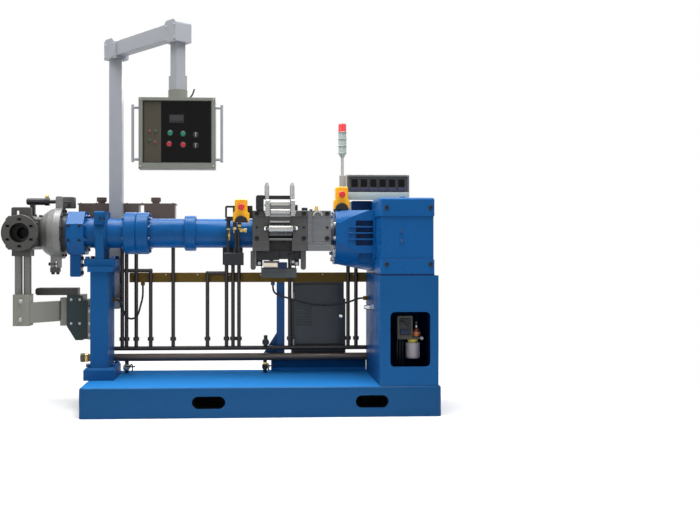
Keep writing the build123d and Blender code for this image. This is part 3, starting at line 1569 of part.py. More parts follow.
def build_parts():
    parts = {
        "base_plinth": base_plinth(),
        "left_column": left_column(),
        "barrel_saddle": barrel_saddle(),
        "saddle_cap": saddle_cap(),
        "gearbox_stand": gearbox_stand(),
        "lube_pump": lube_pump(),
        "lube_reservoir": lube_reservoir(),
        "gearbox_housing": gearbox_housing(),
        "gearbox_lid": gearbox_lid(),
        "bearing_lantern": bearing_lantern(),
        "feed_block": feed_block(),
        "feed_side_block": feed_side_block(),
        "roller_side_plates": roller_side_plates(),
        "guide_roller_upper": guide_roller_upper(),
        "guide_roller_lower": guide_roller_lower(),
        "press_roller": press_roller(),
        "feed_drum": feed_drum(),
        "strip_guide": strip_guide(),
        "roller_motor": roller_motor(),
        "feed_hangers": feed_hangers(),
        "drip_tray": drip_tray(),
        "barrel_rear": barrel_rear(),
        "barrel_collar": barrel_collar(),
        "rear_barrel_flange": barrel_flange(flange_mid_x, flange_right_x),
        "front_barrel_flange": barrel_flange(flange_left_x, flange_mid_x),
        "barrel_front": barrel_front(),
        "head_flange": head_flange(),
        "head_neck": head_neck(),
        "head_clamp_ring": head_clamp_ring(),
        "clamp_cylinder": clamp_cylinder(),
        "cross_head_body": cross_head_body(),
        "cross_head_flange": cross_head_flange(),
        "head_columns": head_columns(),
        "carrier_bracket": carrier_bracket(),
        "carrier_arm": carrier_arm(),
        "arm_box": arm_box(),
        "arm_plates": Compound(children=[pivot_post(), arm_mount_plate()]),
        "stop_brackets": Compound(children=[
            stop_bracket(), stop_right_base(),
            stop_cover(stop_left_x, stop_left_front(), stop_left_bottom_z),
            stop_cover(stop_right_x, stop_right_y, stop_right_bottom())]),
        "stop_boxes": Compound(children=[
            stop_box(stop_left_x, stop_left_front(), stop_left_bottom_z),
            stop_box(stop_right_x, stop_right_y, stop_right_bottom())]),
        "stop_buttons": Compound(children=[
            stop_button(stop_left_x, stop_left_front(), stop_left_bottom_z),
            stop_button(stop_right_x, stop_right_y, stop_right_bottom())]),
        "controller_box": controller_box(),
        "controller_modules": controller_modules(),
        "tower_post": tower_post(),
        "tower_body": tower_body(),
        "tower_red_lens": tower_red_lens(),
        "mast": mast(),
        "boom": boom(),
        "drop_tube": drop_tube(),
        "panel_box": panel_box(),
        "panel_window": panel_window(),
        "panel_buttons": panel_buttons(),
        "panel_handles": panel_handles(),
        "manifolds": manifolds(),
        "riser_pipes": Compound(children=riser_pipes()),
        "pipe_valves": pipe_valves(),
        "cable_trunk": cable_trunk(),
        "heating_cabinet": heating_cabinet(),
        "rear_tanks": rear_tanks(),
        "sagging_cable": hose_tube(sagging_cable_route, cable_diameter),
        "hose_loop": hose_tube(hose_loop_route, cable_diameter),
    }
    return parts


os.makedirs("parts", exist_ok=True)
for name, shape in build_parts().items():
    export_step(shape, f"parts/{name}.step")
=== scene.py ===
import math

import bmesh
import bpy
from mathutils import Matrix, Vector


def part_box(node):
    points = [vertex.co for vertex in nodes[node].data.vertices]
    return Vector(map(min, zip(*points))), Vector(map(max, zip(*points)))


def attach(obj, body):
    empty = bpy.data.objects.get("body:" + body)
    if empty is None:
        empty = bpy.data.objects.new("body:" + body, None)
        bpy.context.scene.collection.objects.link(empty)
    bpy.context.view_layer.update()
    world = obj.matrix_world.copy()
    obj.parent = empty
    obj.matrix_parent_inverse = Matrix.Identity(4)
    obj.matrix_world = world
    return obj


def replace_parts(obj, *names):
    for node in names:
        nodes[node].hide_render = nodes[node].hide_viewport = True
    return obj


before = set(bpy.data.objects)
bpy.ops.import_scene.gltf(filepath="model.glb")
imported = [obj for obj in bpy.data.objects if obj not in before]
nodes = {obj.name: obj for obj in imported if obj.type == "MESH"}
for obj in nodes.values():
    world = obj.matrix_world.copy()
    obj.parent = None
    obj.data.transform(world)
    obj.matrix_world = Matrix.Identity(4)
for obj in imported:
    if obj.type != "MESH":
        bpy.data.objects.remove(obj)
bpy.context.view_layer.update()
scene = bpy.context.scene


# Camera and studio

def new_object(name, content):
    """A new object at the origin, in the scene."""
    made = bpy.data.objects.new(name, content)
    scene.collection.objects.link(made)
    return made


def place_camera():
    """Puts the camera where the photograph was taken from."""
    image_width, image_height = 700, 532
    focal_pixels = 869
    level_point_x, horizon_y = 288, 243
    yaw = math.radians(2.6)
    camera_data = bpy.data.cameras.new("camera")
    camera_data.sensor_fit = "HORIZONTAL"
    camera_data.sensor_width = 36
    camera_data.lens = focal_pixels / image_width * camera_data.sensor_width
    camera_data.shift_x = (image_width / 2 - level_point_x) / image_width
    camera_data.shift_y = (horizon_y - image_height / 2) / image_width
    camera_data.clip_end = 200
    camera = new_object("camera", camera_data)
    camera.location = (-0.075, -5.321, 1.0)
    camera.rotation_euler = (math.radians(90), 0, -yaw)
    scene.camera = camera


def add_light(name, location, target, width, height, power):
    """An area lamp that points at a target."""
    lamp_data = bpy.data.lights.new(name, "AREA")
    lamp_data.shape = "RECTANGLE"
    lamp_data.size = width
    lamp_data.size_y = height
    lamp_data.energy = power
    lamp = new_object(name, lamp_data)
    lamp.location = location
    aim = Vector(target) - Vector(location)
    lamp.rotation_euler = aim.to_track_quat("-Z", "Y").to_euler()


def fill(tree, node, values):
    """Fills a node's inputs with numbers or colours, or links them to outputs."""
    for name, value in values.items():
        if isinstance(value, (int, float, tuple)):
            node.inputs[name].default_value = value
        else:
            tree.links.new(value, node.inputs[name])


def add(tree, kind, values):
    """A new node with its inputs set or linked."""
    node = tree.nodes.new(kind)
    fill(tree, node, values)
    return node


def calc(tree, operation, first, second, clamp=False):
    """A math node on numbers or sockets."""
    node = add(tree, "ShaderNodeMath", {0: first, 1: second})
    node.operation = operation
    node.use_clamp = clamp
    return node.outputs[0]


def ramp(tree, value, low, high, low_out=0.0, high_out=1.0):
    """Maps low..high of a value to low_out..high_out and clamps."""
    limits = {"Value": value, "From Min": low, "From Max": high, "To Min": low_out, "To Max": high_out}
    return add(tree, "ShaderNodeMapRange", limits).outputs["Result"]


def backdrop_strength(tree, lighting):
    """Full strength for the camera, in metal and through glass, and a lower one that lights the object."""
    path = tree.nodes.new("ShaderNodeLightPath")
    mirrored = calc(tree, "MAXIMUM", path.outputs["Is Glossy Ray"], path.outputs["Is Transmission Ray"])
    shown = calc(tree, "MAXIMUM", path.outputs["Is Camera Ray"], mirrored)
    return ramp(tree, shown, 0, 1, lighting)


def white_world(lighting):
    """A white backdrop that lights the object less than it shows."""
    scene.world = bpy.data.worlds.new("studio")
    scene.world.use_nodes = True
    tree = scene.world.node_tree
    tree.nodes.clear()
    white = add(tree, "ShaderNodeBackground",
                {"Color": (1, 1, 1, 1), "Strength": backdrop_strength(tree, lighting)})
    add(tree, "ShaderNodeOutputWorld", {"Surface": white.outputs["Background"]})


def pale_floor():
    """A plain pale floor that keeps its shadow near the object and fades to white far away."""
    reach, shaded_radius, white_radius = 40, 0.9, 3.2
    floor_light = 0.4
    mesh = bpy.data.meshes.new("floor")
    corners = [(-reach, -reach, 0), (reach, -reach, 0), (reach, reach, 0), (-reach, reach, 0)]
    mesh.from_pydata(corners, [], [(0, 1, 2, 3)])
    floor = new_object("floor", mesh)
    material = bpy.data.materials.new("floor")
    material.use_nodes = True
    tree = material.node_tree
    surface = tree.nodes["Principled BSDF"]
    fill(tree, surface, {"Base Color": (0.9, 0.9, 0.9, 1), "Roughness": 0.9, "Specular IOR Level": 0.1})
    white = add(tree, "ShaderNodeEmission",
                {"Color": (1, 1, 1, 1), "Strength": backdrop_strength(tree, floor_light)})
    distance = add(tree, "ShaderNodeVectorMath", {0: object_coordinates(tree)})
    distance.operation = "LENGTH"
    fade = ramp(tree, distance.outputs["Value"], shaded_radius, white_radius)
    blend = add(tree, "ShaderNodeMixShader", {0: fade, 1: surface.outputs[0], 2: white.outputs[0]})
    fill(tree, tree.nodes["Material Output"], {"Surface": blend.outputs[0]})
    mesh.materials.append(material)


def object_coordinates(tree):
    """The places on the piece, in metres."""
    return tree.nodes.new("ShaderNodeTexCoord").outputs["Object"]


place_camera()
white_world(lighting=0.27)
pale_floor()
add_light("overhead", (-0.3, -0.3, 4.8), (-0.1, 0.1, 0.8), 5.2, 3.0, 520)
add_light("front_left", (-4.4, -4.6, 2.6), (-0.5, 0, 0.9), 2.2, 2.6, 48)
add_light("front_right", (4.4, -4.2, 2.2), (0.4, 0, 0.8), 1.8, 2.4, 32)
add_light("behind", (0.5, 4.6, 3.4), (0, 0, 1.2), 4.0, 1.6, 60)
scene.view_settings.view_transform = "Standard"


# Shader groups

def lin(red, green, blue):
    """Linear colour of an 8-bit screen colour."""
    shares = (red / 255, green / 255, blue / 255)
    return tuple(part / 12.92 if part <= 0.04045 else ((part + 0.055) / 1.055) ** 2.4 for part in shares) + (1.0,)


def new_group(name, inputs, output, kind="NodeSocketFloat"):
    """An empty shader group with named float inputs and one output."""
    tree = bpy.data.node_groups.new(name, "ShaderNodeTree")
    for label, value in inputs.items():
        socket = tree.interface.new_socket(label, in_out="INPUT", socket_type="NodeSocketFloat")
        socket.default_value = value
    tree.interface.new_socket(output, in_out="OUTPUT", socket_type=kind)
    return tree, tree.nodes.new("NodeGroupInput"), tree.nodes.new("NodeGroupOutput")


def noise(tree, scale, detail=3.0, roughness=0.5, vector=None):
    """A noise texture on the piece's own places or on a given vector; scale is a number or a socket."""
    where = vector or object_coordinates(tree)
    texture = add(tree, "ShaderNodeTexNoise",
                  {"Vector": where, "Scale": scale, "Detail": detail, "Roughness": roughness})
    return texture.outputs["Fac"]


def make_edge_wear():
    """Mask of rubbed edges: where a rounded normal leaves the flat one, broken by noise."""
    tree, source, sink = new_group("edge_wear", {"Radius": 0.003, "Amount": 0.5, "Breaks": 60.0}, "Mask")
    rounded = add(tree, "ShaderNodeBevel", {"Radius": source.outputs["Radius"]})
    rounded.samples = 4
    shape = tree.nodes.new("ShaderNodeNewGeometry")
    turn = add(tree, "ShaderNodeVectorMath", {0: rounded.outputs["Normal"], 1: shape.outputs["Normal"]})
    turn.operation = "DOT_PRODUCT"
    edge = ramp(tree, turn.outputs["Value"], 0.995, 0.80)
    breaks = ramp(tree, noise(tree, source.outputs["Breaks"], 5, 0.65), 0.42, 0.62)
    broken = calc(tree, "MULTIPLY", edge, breaks)
    fill(tree, sink, {"Mask": calc(tree, "MULTIPLY", broken, source.outputs["Amount"], True)})
    return tree


def make_soft_edges():
    """Normal with small rounded edges, a wavy skin and a fine grain."""
    skin = {"Radius": 0.002, "Wave Scale": 90.0, "Wave Depth": 0.0002, "Grain Scale": 900.0, "Grain Depth": 0.00002}
    tree, source, sink = new_group("soft_edges", skin, "Normal", "NodeSocketVector")
    rounded = add(tree, "ShaderNodeBevel", {"Radius": source.outputs["Radius"]})
    rounded.samples = 4
    last = rounded.outputs["Normal"]
    for kind, detail in (("Wave", 1.5), ("Grain", 3.0)):
        height = noise(tree, source.outputs[kind + " Scale"], detail)
        depth = source.outputs[kind + " Depth"]
        bump = add(tree, "ShaderNodeBump", {"Strength": 1.0, "Distance": depth, "Height": height, "Normal": last})
        last = bump.outputs["Normal"]
    fill(tree, sink, {"Normal": last})
    return tree


def make_settled_dust():
    """Mask of dust and oil film that lies on upward faces."""
    tree, source, sink = new_group("settled_dust", {"Amount": 0.3, "Patches": 9.0}, "Mask")
    shape = tree.nodes.new("ShaderNodeNewGeometry")
    split = add(tree, "ShaderNodeSeparateXYZ", {0: shape.outputs["Normal"]})
    upward = ramp(tree, split.outputs["Z"], 0.35, 0.95)
    patches = ramp(tree, noise(tree, source.outputs["Patches"], 6, 0.62), 0.35, 0.7)
    dust = calc(tree, "MULTIPLY", upward, patches)
    fill(tree, sink, {"Mask": calc(tree, "MULTIPLY", dust, source.outputs["Amount"], True)})
    return tree


def make_tone_patches():
    """Slow change of tone over a surface, around one."""
    tree, source, sink = new_group("tone_patches", {"Scale": 4.0, "Spread": 0.1}, "Tone")
    slow = noise(tree, source.outputs["Scale"], 4, 0.6)
    middle = calc(tree, "SUBTRACT", slow, 0.5)
    swing = calc(tree, "MULTIPLY", middle, source.outputs["Spread"])
    fill(tree, sink, {"Tone": calc(tree, "ADD", swing, 1.0)})
    return tree


def make_tool_lines():
    """Fine parallel lines of a machined face, drawn out along one axis."""
    tree, source, sink = new_group("tool_lines", {"Along X": 6.0, "Along Y": 6.0, "Along Z": 420.0}, "Lines")
    joined = add(tree, "ShaderNodeCombineXYZ", {letter: source.outputs["Along " + letter] for letter in "XYZ"})
    stretched = add(tree, "ShaderNodeVectorMath", {0: object_coordinates(tree), 1: joined.outputs[0]})
    stretched.operation = "MULTIPLY"
    fill(tree, sink, {"Lines": noise(tree, 1.0, 4, 0.6, stretched.outputs["Vector"])})
    return tree


def make_box_mask():
    """Mask of the points between two corners."""
    limits = {side + " " + letter: 0.0 for side in ("Low", "High") for letter in "XYZ"}
    tree, source, sink = new_group("box_mask", limits, "Mask")
    split = add(tree, "ShaderNodeSeparateXYZ", {0: object_coordinates(tree)})
    mask = None
    for letter in "XYZ":
        for side, operation in (("Low", "GREATER_THAN"), ("High", "LESS_THAN")):
            passed = calc(tree, operation, split.outputs[letter], source.outputs[side + " " + letter])
            mask = passed if mask is None else calc(tree, "MULTIPLY", mask, passed)
    fill(tree, sink, {"Mask": mask})
    return tree


edge_wear = make_edge_wear()
soft_edges = make_soft_edges()
settled_dust = make_settled_dust()
tone_patches = make_tone_patches()
tool_lines = make_tool_lines()
box_mask = make_box_mask()


def use_group(tree, group, **values):
    """A copy of a shader group with its own values; an underscore stands for a space."""
    node = tree.nodes.new("ShaderNodeGroup")
    node.node_tree = group
    fill(tree, node, {name.replace("_", " "): value for name, value in values.items()})
    return node


def between(tree, low, high):
    """Mask of the points between two corners, in metres."""
    corners = (("Low_", low), ("High_", high))
    limits = {side + letter: value for side, corner in corners for letter, value in zip("XYZ", corner)}
    return use_group(tree, box_mask, **limits).outputs["Mask"]


def mix(tree, share, first, second, blend="MIX"):
    """A colour mix; share, first and second are values, colours or sockets."""
    node = tree.nodes.new("ShaderNodeMix")
    node.data_type = "RGBA"
    node.blend_type = blend
    fill(tree, node, {0: share, 6: first, 7: second})
    return node.outputs[2]


def zoned(tree, colour, zones):
    """A colour that changes inside the boxes of the zones: (low corner, high corner, colour)."""
    for low, high, other in zones:
        colour = mix(tree, between(tree, low, high), colour, other)
    return colour


def toned(tree, colour, scale, spread):
    """A colour that gets slowly lighter and darker."""
    tone = use_group(tree, tone_patches, Scale=scale, Spread=spread).outputs["Tone"]
    grey = add(tree, "ShaderNodeCombineColor", {0: tone, 1: tone, 2: tone})
    return mix(tree, 1.0, colour, grey.outputs[0], "MULTIPLY")


def start_material(name, metallic=0.0, coat=0.0, specular=0.5):
    """A new material with the values that are the same all over it."""
    material = bpy.data.materials.new(name)
    material.use_nodes = True
    tree = material.node_tree
    surface = tree.nodes["Principled BSDF"]
    fill(tree, surface, {"Metallic": metallic, "Coat Weight": coat, "Coat Roughness": 0.05,
                         "Specular IOR Level": specular})
    return material, tree, surface


def shade(colour, factor, lift=0.0):
    """A colour made darker or lighter."""
    return tuple(min(1, part * factor + lift) for part in colour[:3]) + (1,)


def rubbed(tree, colour, bare, radius, amount, breaks=60.0):
    """A colour that gives way to another one along rubbed edges."""
    wear = use_group(tree, edge_wear, Radius=radius, Amount=amount, Breaks=breaks)
    return mix(tree, wear.outputs["Mask"], colour, bare)


def join_surface(tree, surface, colour, roughness, edge, wave, grain):
    """Joins colour, roughness and soft edges to the surface; wave and grain hold (scale, depth)."""
    edges = use_group(tree, soft_edges, Radius=edge, Wave_Scale=wave[0], Wave_Depth=wave[1], Grain_Scale=grain[0],
                      Grain_Depth=grain[1])
    fill(tree, surface, {"Base Color": colour, "Roughness": roughness, "Normal": edges.outputs["Normal"]})


def enamel(name, colour, rough=0.4, coat=0.1, wave=0.00006, wear=0.2, dust=0.03, edge=0.0025, spread=0.16,
           zones=(), matt_zones=False, specular=0.2):
    """Sprayed paint over cast or sheet metal: wavy skin, tone patches, dust on top faces and rubbed edges."""
    primer = (0.05, 0.05, 0.055, 1)
    dust_grey = (0.42, 0.42, 0.41, 1)
    material, tree, surface = start_material(name, coat=coat, specular=specular)
    settled = use_group(tree, settled_dust, Amount=dust)
    base = toned(tree, zoned(tree, colour, zones), 3.5, spread)
    dusty = mix(tree, settled.outputs["Mask"], base, dust_grey)
    smeared = ramp(tree, noise(tree, 14.0, 5, 0.6), 0.3, 0.75, rough * 0.75, rough * 1.35)
    if matt_zones:
        glossy = 1.0
        for low, high, _ in zones:
            glossy = calc(tree, "MULTIPLY", glossy, calc(tree, "SUBTRACT", 1.0, between(tree, low, high)))
        fill(tree, surface, {"Coat Weight": calc(tree, "MULTIPLY", glossy, coat)})
        smeared = calc(tree, "ADD", smeared, calc(tree, "MULTIPLY", calc(tree, "SUBTRACT", 1.0, glossy), 0.6))
    worn = rubbed(tree, dusty, primer, edge, wear)
    join_surface(tree, surface, worn, smeared, edge, (45.0, wave), (1400.0, 0.000006))
    return material


def casting(name, colour, rough=0.5, metallic=0.3, grain=0.00022, wear=0.5, spread=0.35, zones=()):
    """Bare or thinly painted cast iron: sandy grain, dark pores and bright rubbed edges."""
    edge = 0.003
    material, tree, surface = start_material(name, metallic=metallic)
    base = toned(tree, zoned(tree, colour, zones), 9.0, spread)
    pores = ramp(tree, noise(tree, 240.0, 4, 0.7), 0.36, 0.5)
    pored = mix(tree, pores, shade(colour, 0.45), base)
    worn = rubbed(tree, pored, shade(colour, 1.9, 0.05), edge, wear, 45.0)
    oily = ramp(tree, noise(tree, 22.0, 4, 0.6), 0.3, 0.7, rough * 0.7, rough * 1.25)
    join_surface(tree, surface, worn, oily, edge, (160.0, grain), (900.0, grain * 0.35))
    return material


def machined(name, colour, rough=0.3, lines=(5.0, 5.0, 300.0), wear=0.3, metallic=0.6, spread=0.25, zones=(),
             depth=0.72):
    """Milled or turned steel: tool lines in roughness and tone; depth is how dark the lines are."""
    edge = 0.0015
    material, tree, surface = start_material(name, metallic=metallic)
    marks = use_group(tree, tool_lines, Along_X=lines[0], Along_Y=lines[1], Along_Z=lines[2])
    base = toned(tree, colour, 7.0, spread)
    lined = mix(tree, ramp(tree, marks.outputs["Lines"], 0.32, 0.62), shade(colour, depth), base)
    worn = rubbed(tree, lined, shade(colour, 1.5, 0.08), edge, wear, 120.0)
    filmed = ramp(tree, marks.outputs["Lines"], 0.3, 0.7, rough * 0.75, rough * 1.4)
    join_surface(tree, surface, zoned(tree, worn, zones), filmed, edge, (60.0, 0.00002), (1300.0, 0.000005))
    return material


def moulded(name, colour, rough=0.35, coat=0.0, grain=0.00003, spread=0.08, zones=(), specular=0.3):
    """Moulded plastic: fine grain, small tone changes and a soft edge."""
    edge = 0.001
    material, tree, surface = start_material(name, coat=coat, specular=specular)
    base = toned(tree, zoned(tree, colour, zones), 12.0, spread)
    hazy = ramp(tree, noise(tree, 35.0, 4, 0.6), 0.3, 0.7, rough * 0.8, rough * 1.25)
    join_surface(tree, surface, base, hazy, edge, (40.0, 0.00001), (1100.0, grain))
    return material


# Materials of the CAD nodes, and zones of another colour

blue_paint = lin(29, 83, 136)
deep_blue = lin(5, 30, 66)
# Painted shade: near black for the insides of the plinth's fork slots.
slot_shade = lin(8, 12, 18)
near_black = lin(12, 12, 13)

# Painted light: the plinth's top face is painted a lighter blue, and kept matt, where the overhead lamp falls on it.
plinth_top_light = ((-1.1, -0.4, 0.1745), (1.1, 0.4, 0.2), lin(34, 112, 178))
fork_slot_shade = [((x, -0.336, 0.03), (x + 0.23, 0.336, 0.15), slot_shade) for x in (-0.42, 0.52)]
# Painted shadow: a dark blue band along the bottom edge of the gearbox housing, where it overhangs the stand.
gearbox_gap_shadow = ((0.6, -0.4, 0.811), (1.1, 0.3, 0.8215), deep_blue)
rail_zone = ((-0.2, 0.2, -0.1), (0.75, 0.4, 0.745), blue_paint)
lower_pipe_zone = ((-1.2, 0.19, 0.24), (0.7, 0.26, 0.31), lin(92, 82, 76))
cover_zone = ((-1.4, 0.02, 0.682), (-1.1, 0.11, 0.74), lin(58, 58, 56))
# Painted shade: the recess under the feed opening is painted near black.
feed_recess_shade = ((0.045, -0.0985, 0.950), (0.190, -0.03, 1.0165), lin(27, 27, 25))
arch = ((0.31, -0.0965, 1.14), (0.38, -0.087, 1.194), lin(172, 170, 160))
controller_frame = ((0.53, -0.01, 1.312), (0.913, 0.05, 1.417), lin(84, 87, 88))
# Painted reflection: a lighter beige grey patch on the left part of the panel window.
window_reflection = ((-0.70, -0.33, 1.44), (-0.576, -0.30, 1.83), lin(76, 72, 62))
pump_dome = ((0.893, -0.248, 0.451), (0.940, -0.190, 0.477), lin(200, 112, 74))

axis_y, axis_z = 0.060, 1.060
die_x, die_slot_radius = -1.421, 0.079
# Painted shade: the die's middle and six oblong pockets round it, painted near black on the head casting.
die_shade = [((die_x - 0.060, -0.1493, axis_z - 0.060), (die_x + 0.060, 0.3, axis_z + 0.060), near_black)]
for i in range(6):
    slot_angle = math.radians(90 + 60 * i)
    slot_x = die_x + die_slot_radius * math.cos(slot_angle)
    slot_z = axis_z + die_slot_radius * math.sin(slot_angle)
    die_shade.append(((slot_x - 0.014, -0.152, slot_z - 0.008), (slot_x + 0.014, 0.0, slot_z + 0.008), near_black))

blue = enamel("blue_enamel", blue_paint, rough=0.38, coat=0.0, dust=0.0, specular=0.025, wave=0.00004, wear=0.12,
              spread=0.10)
# The plinth's zones paint shade inside the fork slots and light on its top face.
plinth_blue = enamel("plinth_enamel", lin(4, 69, 117), rough=0.36, coat=0.16, dust=0.0, specular=0.06, wave=0.00003,
                     wear=0.05, spread=0.05, zones=fork_slot_shade + [plinth_top_light], matt_zones=True)
# The gearbox housing's zone is a painted shadow along its bottom edge.
blue_cast = enamel("blue_cast_enamel", lin(12, 82, 142), rough=0.30, coat=0.05, dust=0.01, specular=0.12,
                   wave=0.00022, wear=0.14, spread=0.12, zones=[gearbox_gap_shadow])
cast_grey = casting("grey_casting", lin(120, 120, 119), rough=0.46)
# Its zones paint shade over the die's middle and in the oblong pockets.
head_grey = casting("head_casting", lin(64, 63, 61), wear=0.4, zones=die_shade)
column_grey = casting("column_casting", lin(114, 113, 109), rough=0.46)
cast_dark = casting("dark_casting", lin(62, 64, 68), metallic=0.4, wear=0.35)
# Its zone is painted shade in the recess under the feed opening.
steel = machined("milled_steel", lin(78, 78, 79), rough=0.36, metallic=0.5, spread=0.3, zones=[feed_recess_shade])
side_steel = machined("side_block_steel", lin(108, 111, 114), rough=0.34, metallic=0.5, spread=0.3, zones=[arch])
bright_plate = machined("bright_plate", lin(168, 169, 168))
roller_steel = machined("turned_steel", lin(166, 166, 162), rough=0.26, lines=(12.0, 5.0, 5.0), spread=0.04,
                        wear=0.0, depth=0.95)
drum_steel = machined("drum_steel", lin(84, 84, 88), rough=0.38, lines=(90.0, 1.0, 1.0))
dark_steel = machined("blackened_steel", lin(47, 48, 52), rough=0.4, metallic=0.7)
light_grey = enamel("light_grey_enamel", lin(150, 153, 159), rough=0.42, coat=0.15, wear=0.10, dust=0.05, spread=0.1)
box_grey = enamel("box_grey_enamel", lin(122, 125, 117), wear=0.08, spread=0.1)
frame_grey = enamel("controller_box_enamel", lin(176, 180, 178), wear=0.08, spread=0.1, zones=[controller_frame])
teal_grey = enamel("teal_grey_enamel", lin(33, 46, 48), rough=0.42, wave=0.0001, wear=0.3)
beige = enamel("beige_enamel", lin(130, 130, 122), rough=0.45, wave=0.0001, wear=0.3, dust=0.12, zones=[cover_zone])
black = moulded("black_plastic", lin(24, 25, 27), rough=0.42)
# Its zone is a painted reflection on the window's left part.
window_dark = moulded("dark_window", lin(9, 9, 11), rough=0.14, grain=0.000002, zones=[window_reflection], specular=0.12)
display_black = moulded("display_black", lin(20, 20, 24), rough=0.24, coat=0.6, grain=0.000005)
strip_blue = moulded("controller_keys", lin(54, 52, 84))
yellow = moulded("yellow_plastic", lin(240, 172, 18), rough=0.3, coat=0.3)
red = moulded("red_plastic", lin(206, 38, 44), rough=0.25, coat=0.4)
red_lens = moulded("red_lens", lin(226, 40, 50), rough=0.18, coat=0.8)
green = moulded("green_plastic", lin(30, 140, 100), rough=0.25, coat=0.4)
copper = machined("copper", lin(186, 106, 70), wear=0.2, metallic=0.5)
pale_yellow = moulded("pale_yellow_plastic", lin(204, 192, 84))
panel_green = moulded("panel_green_plastic", lin(30, 112, 88), rough=0.3)
panel_red = moulded("panel_red_plastic", lin(168, 42, 54), rough=0.3)
lamp_grey = moulded("lamp_grey_plastic", lin(164, 175, 172))
ochre = enamel("ochre_enamel", lin(98, 74, 12), rough=0.5, coat=0.05, wear=0.3, dust=0.05, zones=[rail_zone])
tank_brown = enamel("tank_brown_enamel", lin(84, 72, 66), coat=0.3, wave=0.0001)
cabinet = enamel("cabinet_grey_enamel", lin(63, 68, 71), coat=0.2)
pump_grey = enamel("pump_grey_enamel", lin(66, 67, 63), coat=0.2, zones=[pump_dome])
pipe = machined("pipe_steel", lin(60, 55, 53), rough=0.42, metallic=0.5, lines=(6.0, 6.0, 120.0), spread=0.5,
                zones=[lower_pipe_zone])
white = moulded("milky_plastic", lin(170, 166, 172), rough=0.3, coat=0.2)
chrome = machined("chrome", lin(225, 226, 228), rough=0.14, wear=0.0, spread=0.05, metallic=0.85)
brass = machined("brass", lin(214, 184, 104), wear=0.2)
zinc = machined("zinc_bolt", lin(168, 170, 172), rough=0.32, wear=0.4, spread=0.3, metallic=0.7)
black_bolt = machined("black_bolt", lin(30, 31, 34), rough=0.4, metallic=0.5)
blue_bolt = enamel("blue_bolt", lin(6, 70, 128), rough=0.34, coat=0.5, wear=0.4, edge=0.001)
rubber = moulded("black_rubber", lin(24, 25, 27), rough=0.5, grain=0.00006)
dull_red = moulded("dull_red_plastic", lin(112, 60, 58), rough=0.4)
dull_green = moulded("dull_green_plastic", lin(38, 78, 62), rough=0.4)
cream = enamel("cream_enamel", lin(226, 214, 196), rough=0.45, wear=0.15)
deep_blue_paint = enamel("deep_blue_enamel", deep_blue, coat=0.2, wear=0.25)

node_materials = {
    plinth_blue: ["base_plinth"],
    blue: ["left_column", "gearbox_stand", "saddle_cap", "barrel_saddle"],
    blue_cast: ["gearbox_housing", "gearbox_lid", "bearing_lantern", "barrel_rear", "barrel_collar",
                "rear_barrel_flange", "front_barrel_flange", "barrel_front", "head_flange"],
    cast_grey: ["head_clamp_ring"],
    head_grey: ["cross_head_body", "cross_head_flange"],
    column_grey: ["head_columns"],
    steel: ["feed_block", "feed_hangers"],
    side_steel: ["feed_side_block"],
    bright_plate: ["roller_side_plates", "strip_guide"],
    roller_steel: ["guide_roller_upper", "guide_roller_lower", "press_roller", "tower_post"],
    drum_steel: ["feed_drum"],
    dark_steel: ["head_neck", "clamp_cylinder", "pipe_valves"],
    light_grey: ["mast", "boom", "drop_tube", "panel_handles"],
    box_grey: ["panel_box"],
    frame_grey: ["controller_box"],
    teal_grey: ["arm_box"],
    beige: ["carrier_bracket", "carrier_arm", "arm_plates"],
    black: ["roller_motor", "stop_brackets"],
    window_dark: ["panel_window"],
    display_black: ["controller_modules"],
    yellow: ["stop_boxes"],
    red: ["stop_buttons"],
    red_lens: ["tower_red_lens"],
    green: ["panel_buttons"],
    lamp_grey: ["tower_body"],
    ochre: ["cable_trunk"],
    tank_brown: ["rear_tanks"],
    cabinet: ["heating_cabinet", "drip_tray"],
    pump_grey: ["lube_pump"],
    pipe: ["manifolds", "riser_pipes"],
    white: ["lube_reservoir"],
    rubber: ["sagging_cable", "hose_loop"],
}
for material, names in node_materials.items():
    for name in names:
        for place in nodes[name].material_slots:
            place.material = material


# Shapes made by turning and by smooth lines

def spun(profile, sides):
    """A closed turned shape round Z; profile holds (radius, height)."""
    form = bmesh.new()
    rings = []
    angles = [2 * math.pi * i / sides for i in range(sides)]
    for radius, height in profile:
        circle = [(radius * math.cos(angle), radius * math.sin(angle), height) for angle in angles]
        rings.append([form.verts.new(place) for place in circle])
    for low, high in zip(rings, rings[1:]):
        for i in range(sides):
            j = (i + 1) % sides
            form.faces.new((low[i], low[j], high[j], high[i]))
    form.faces.new(rings[0])
    form.faces.new(rings[-1])
    bmesh.ops.recalc_face_normals(form, faces=form.faces)
    return form


def smooth_line(name, route, diameter):
    """A round cable or pipe along one smooth line through its route's points."""
    line = bpy.data.curves.new(name, "CURVE")
    line.dimensions = "3D"
    line.resolution_u = 8
    line.bevel_depth = diameter / 2
    line.bevel_resolution = 5
    line.use_fill_caps = True
    spline = line.splines.new("NURBS")
    spline.points.add(len(route) - 1)
    for point, place in zip(spline.points, route):
        point.co = (place[0], place[1], place[2], 1)
    spline.order_u = 3
    spline.use_endpoint_u = True
    return new_object(name, line)


def shown_mesh(holder):
    """The mesh that a modifier or a curve makes; its holder is taken away."""
    shown = bpy.context.evaluated_depsgraph_get()
    mesh = bpy.data.meshes.new_from_object(holder.evaluated_get(shown))
    bpy.data.objects.remove(holder)
    return mesh


def hang_cable(name, node, route, diameter):
    """A cable held at both ends, in place of its CAD solid."""
    cable = smooth_line(name, route, diameter)
    cable.data.materials.append(rubber)
    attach(cable, "machine")
    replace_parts(cable, node)


# Hanging cables

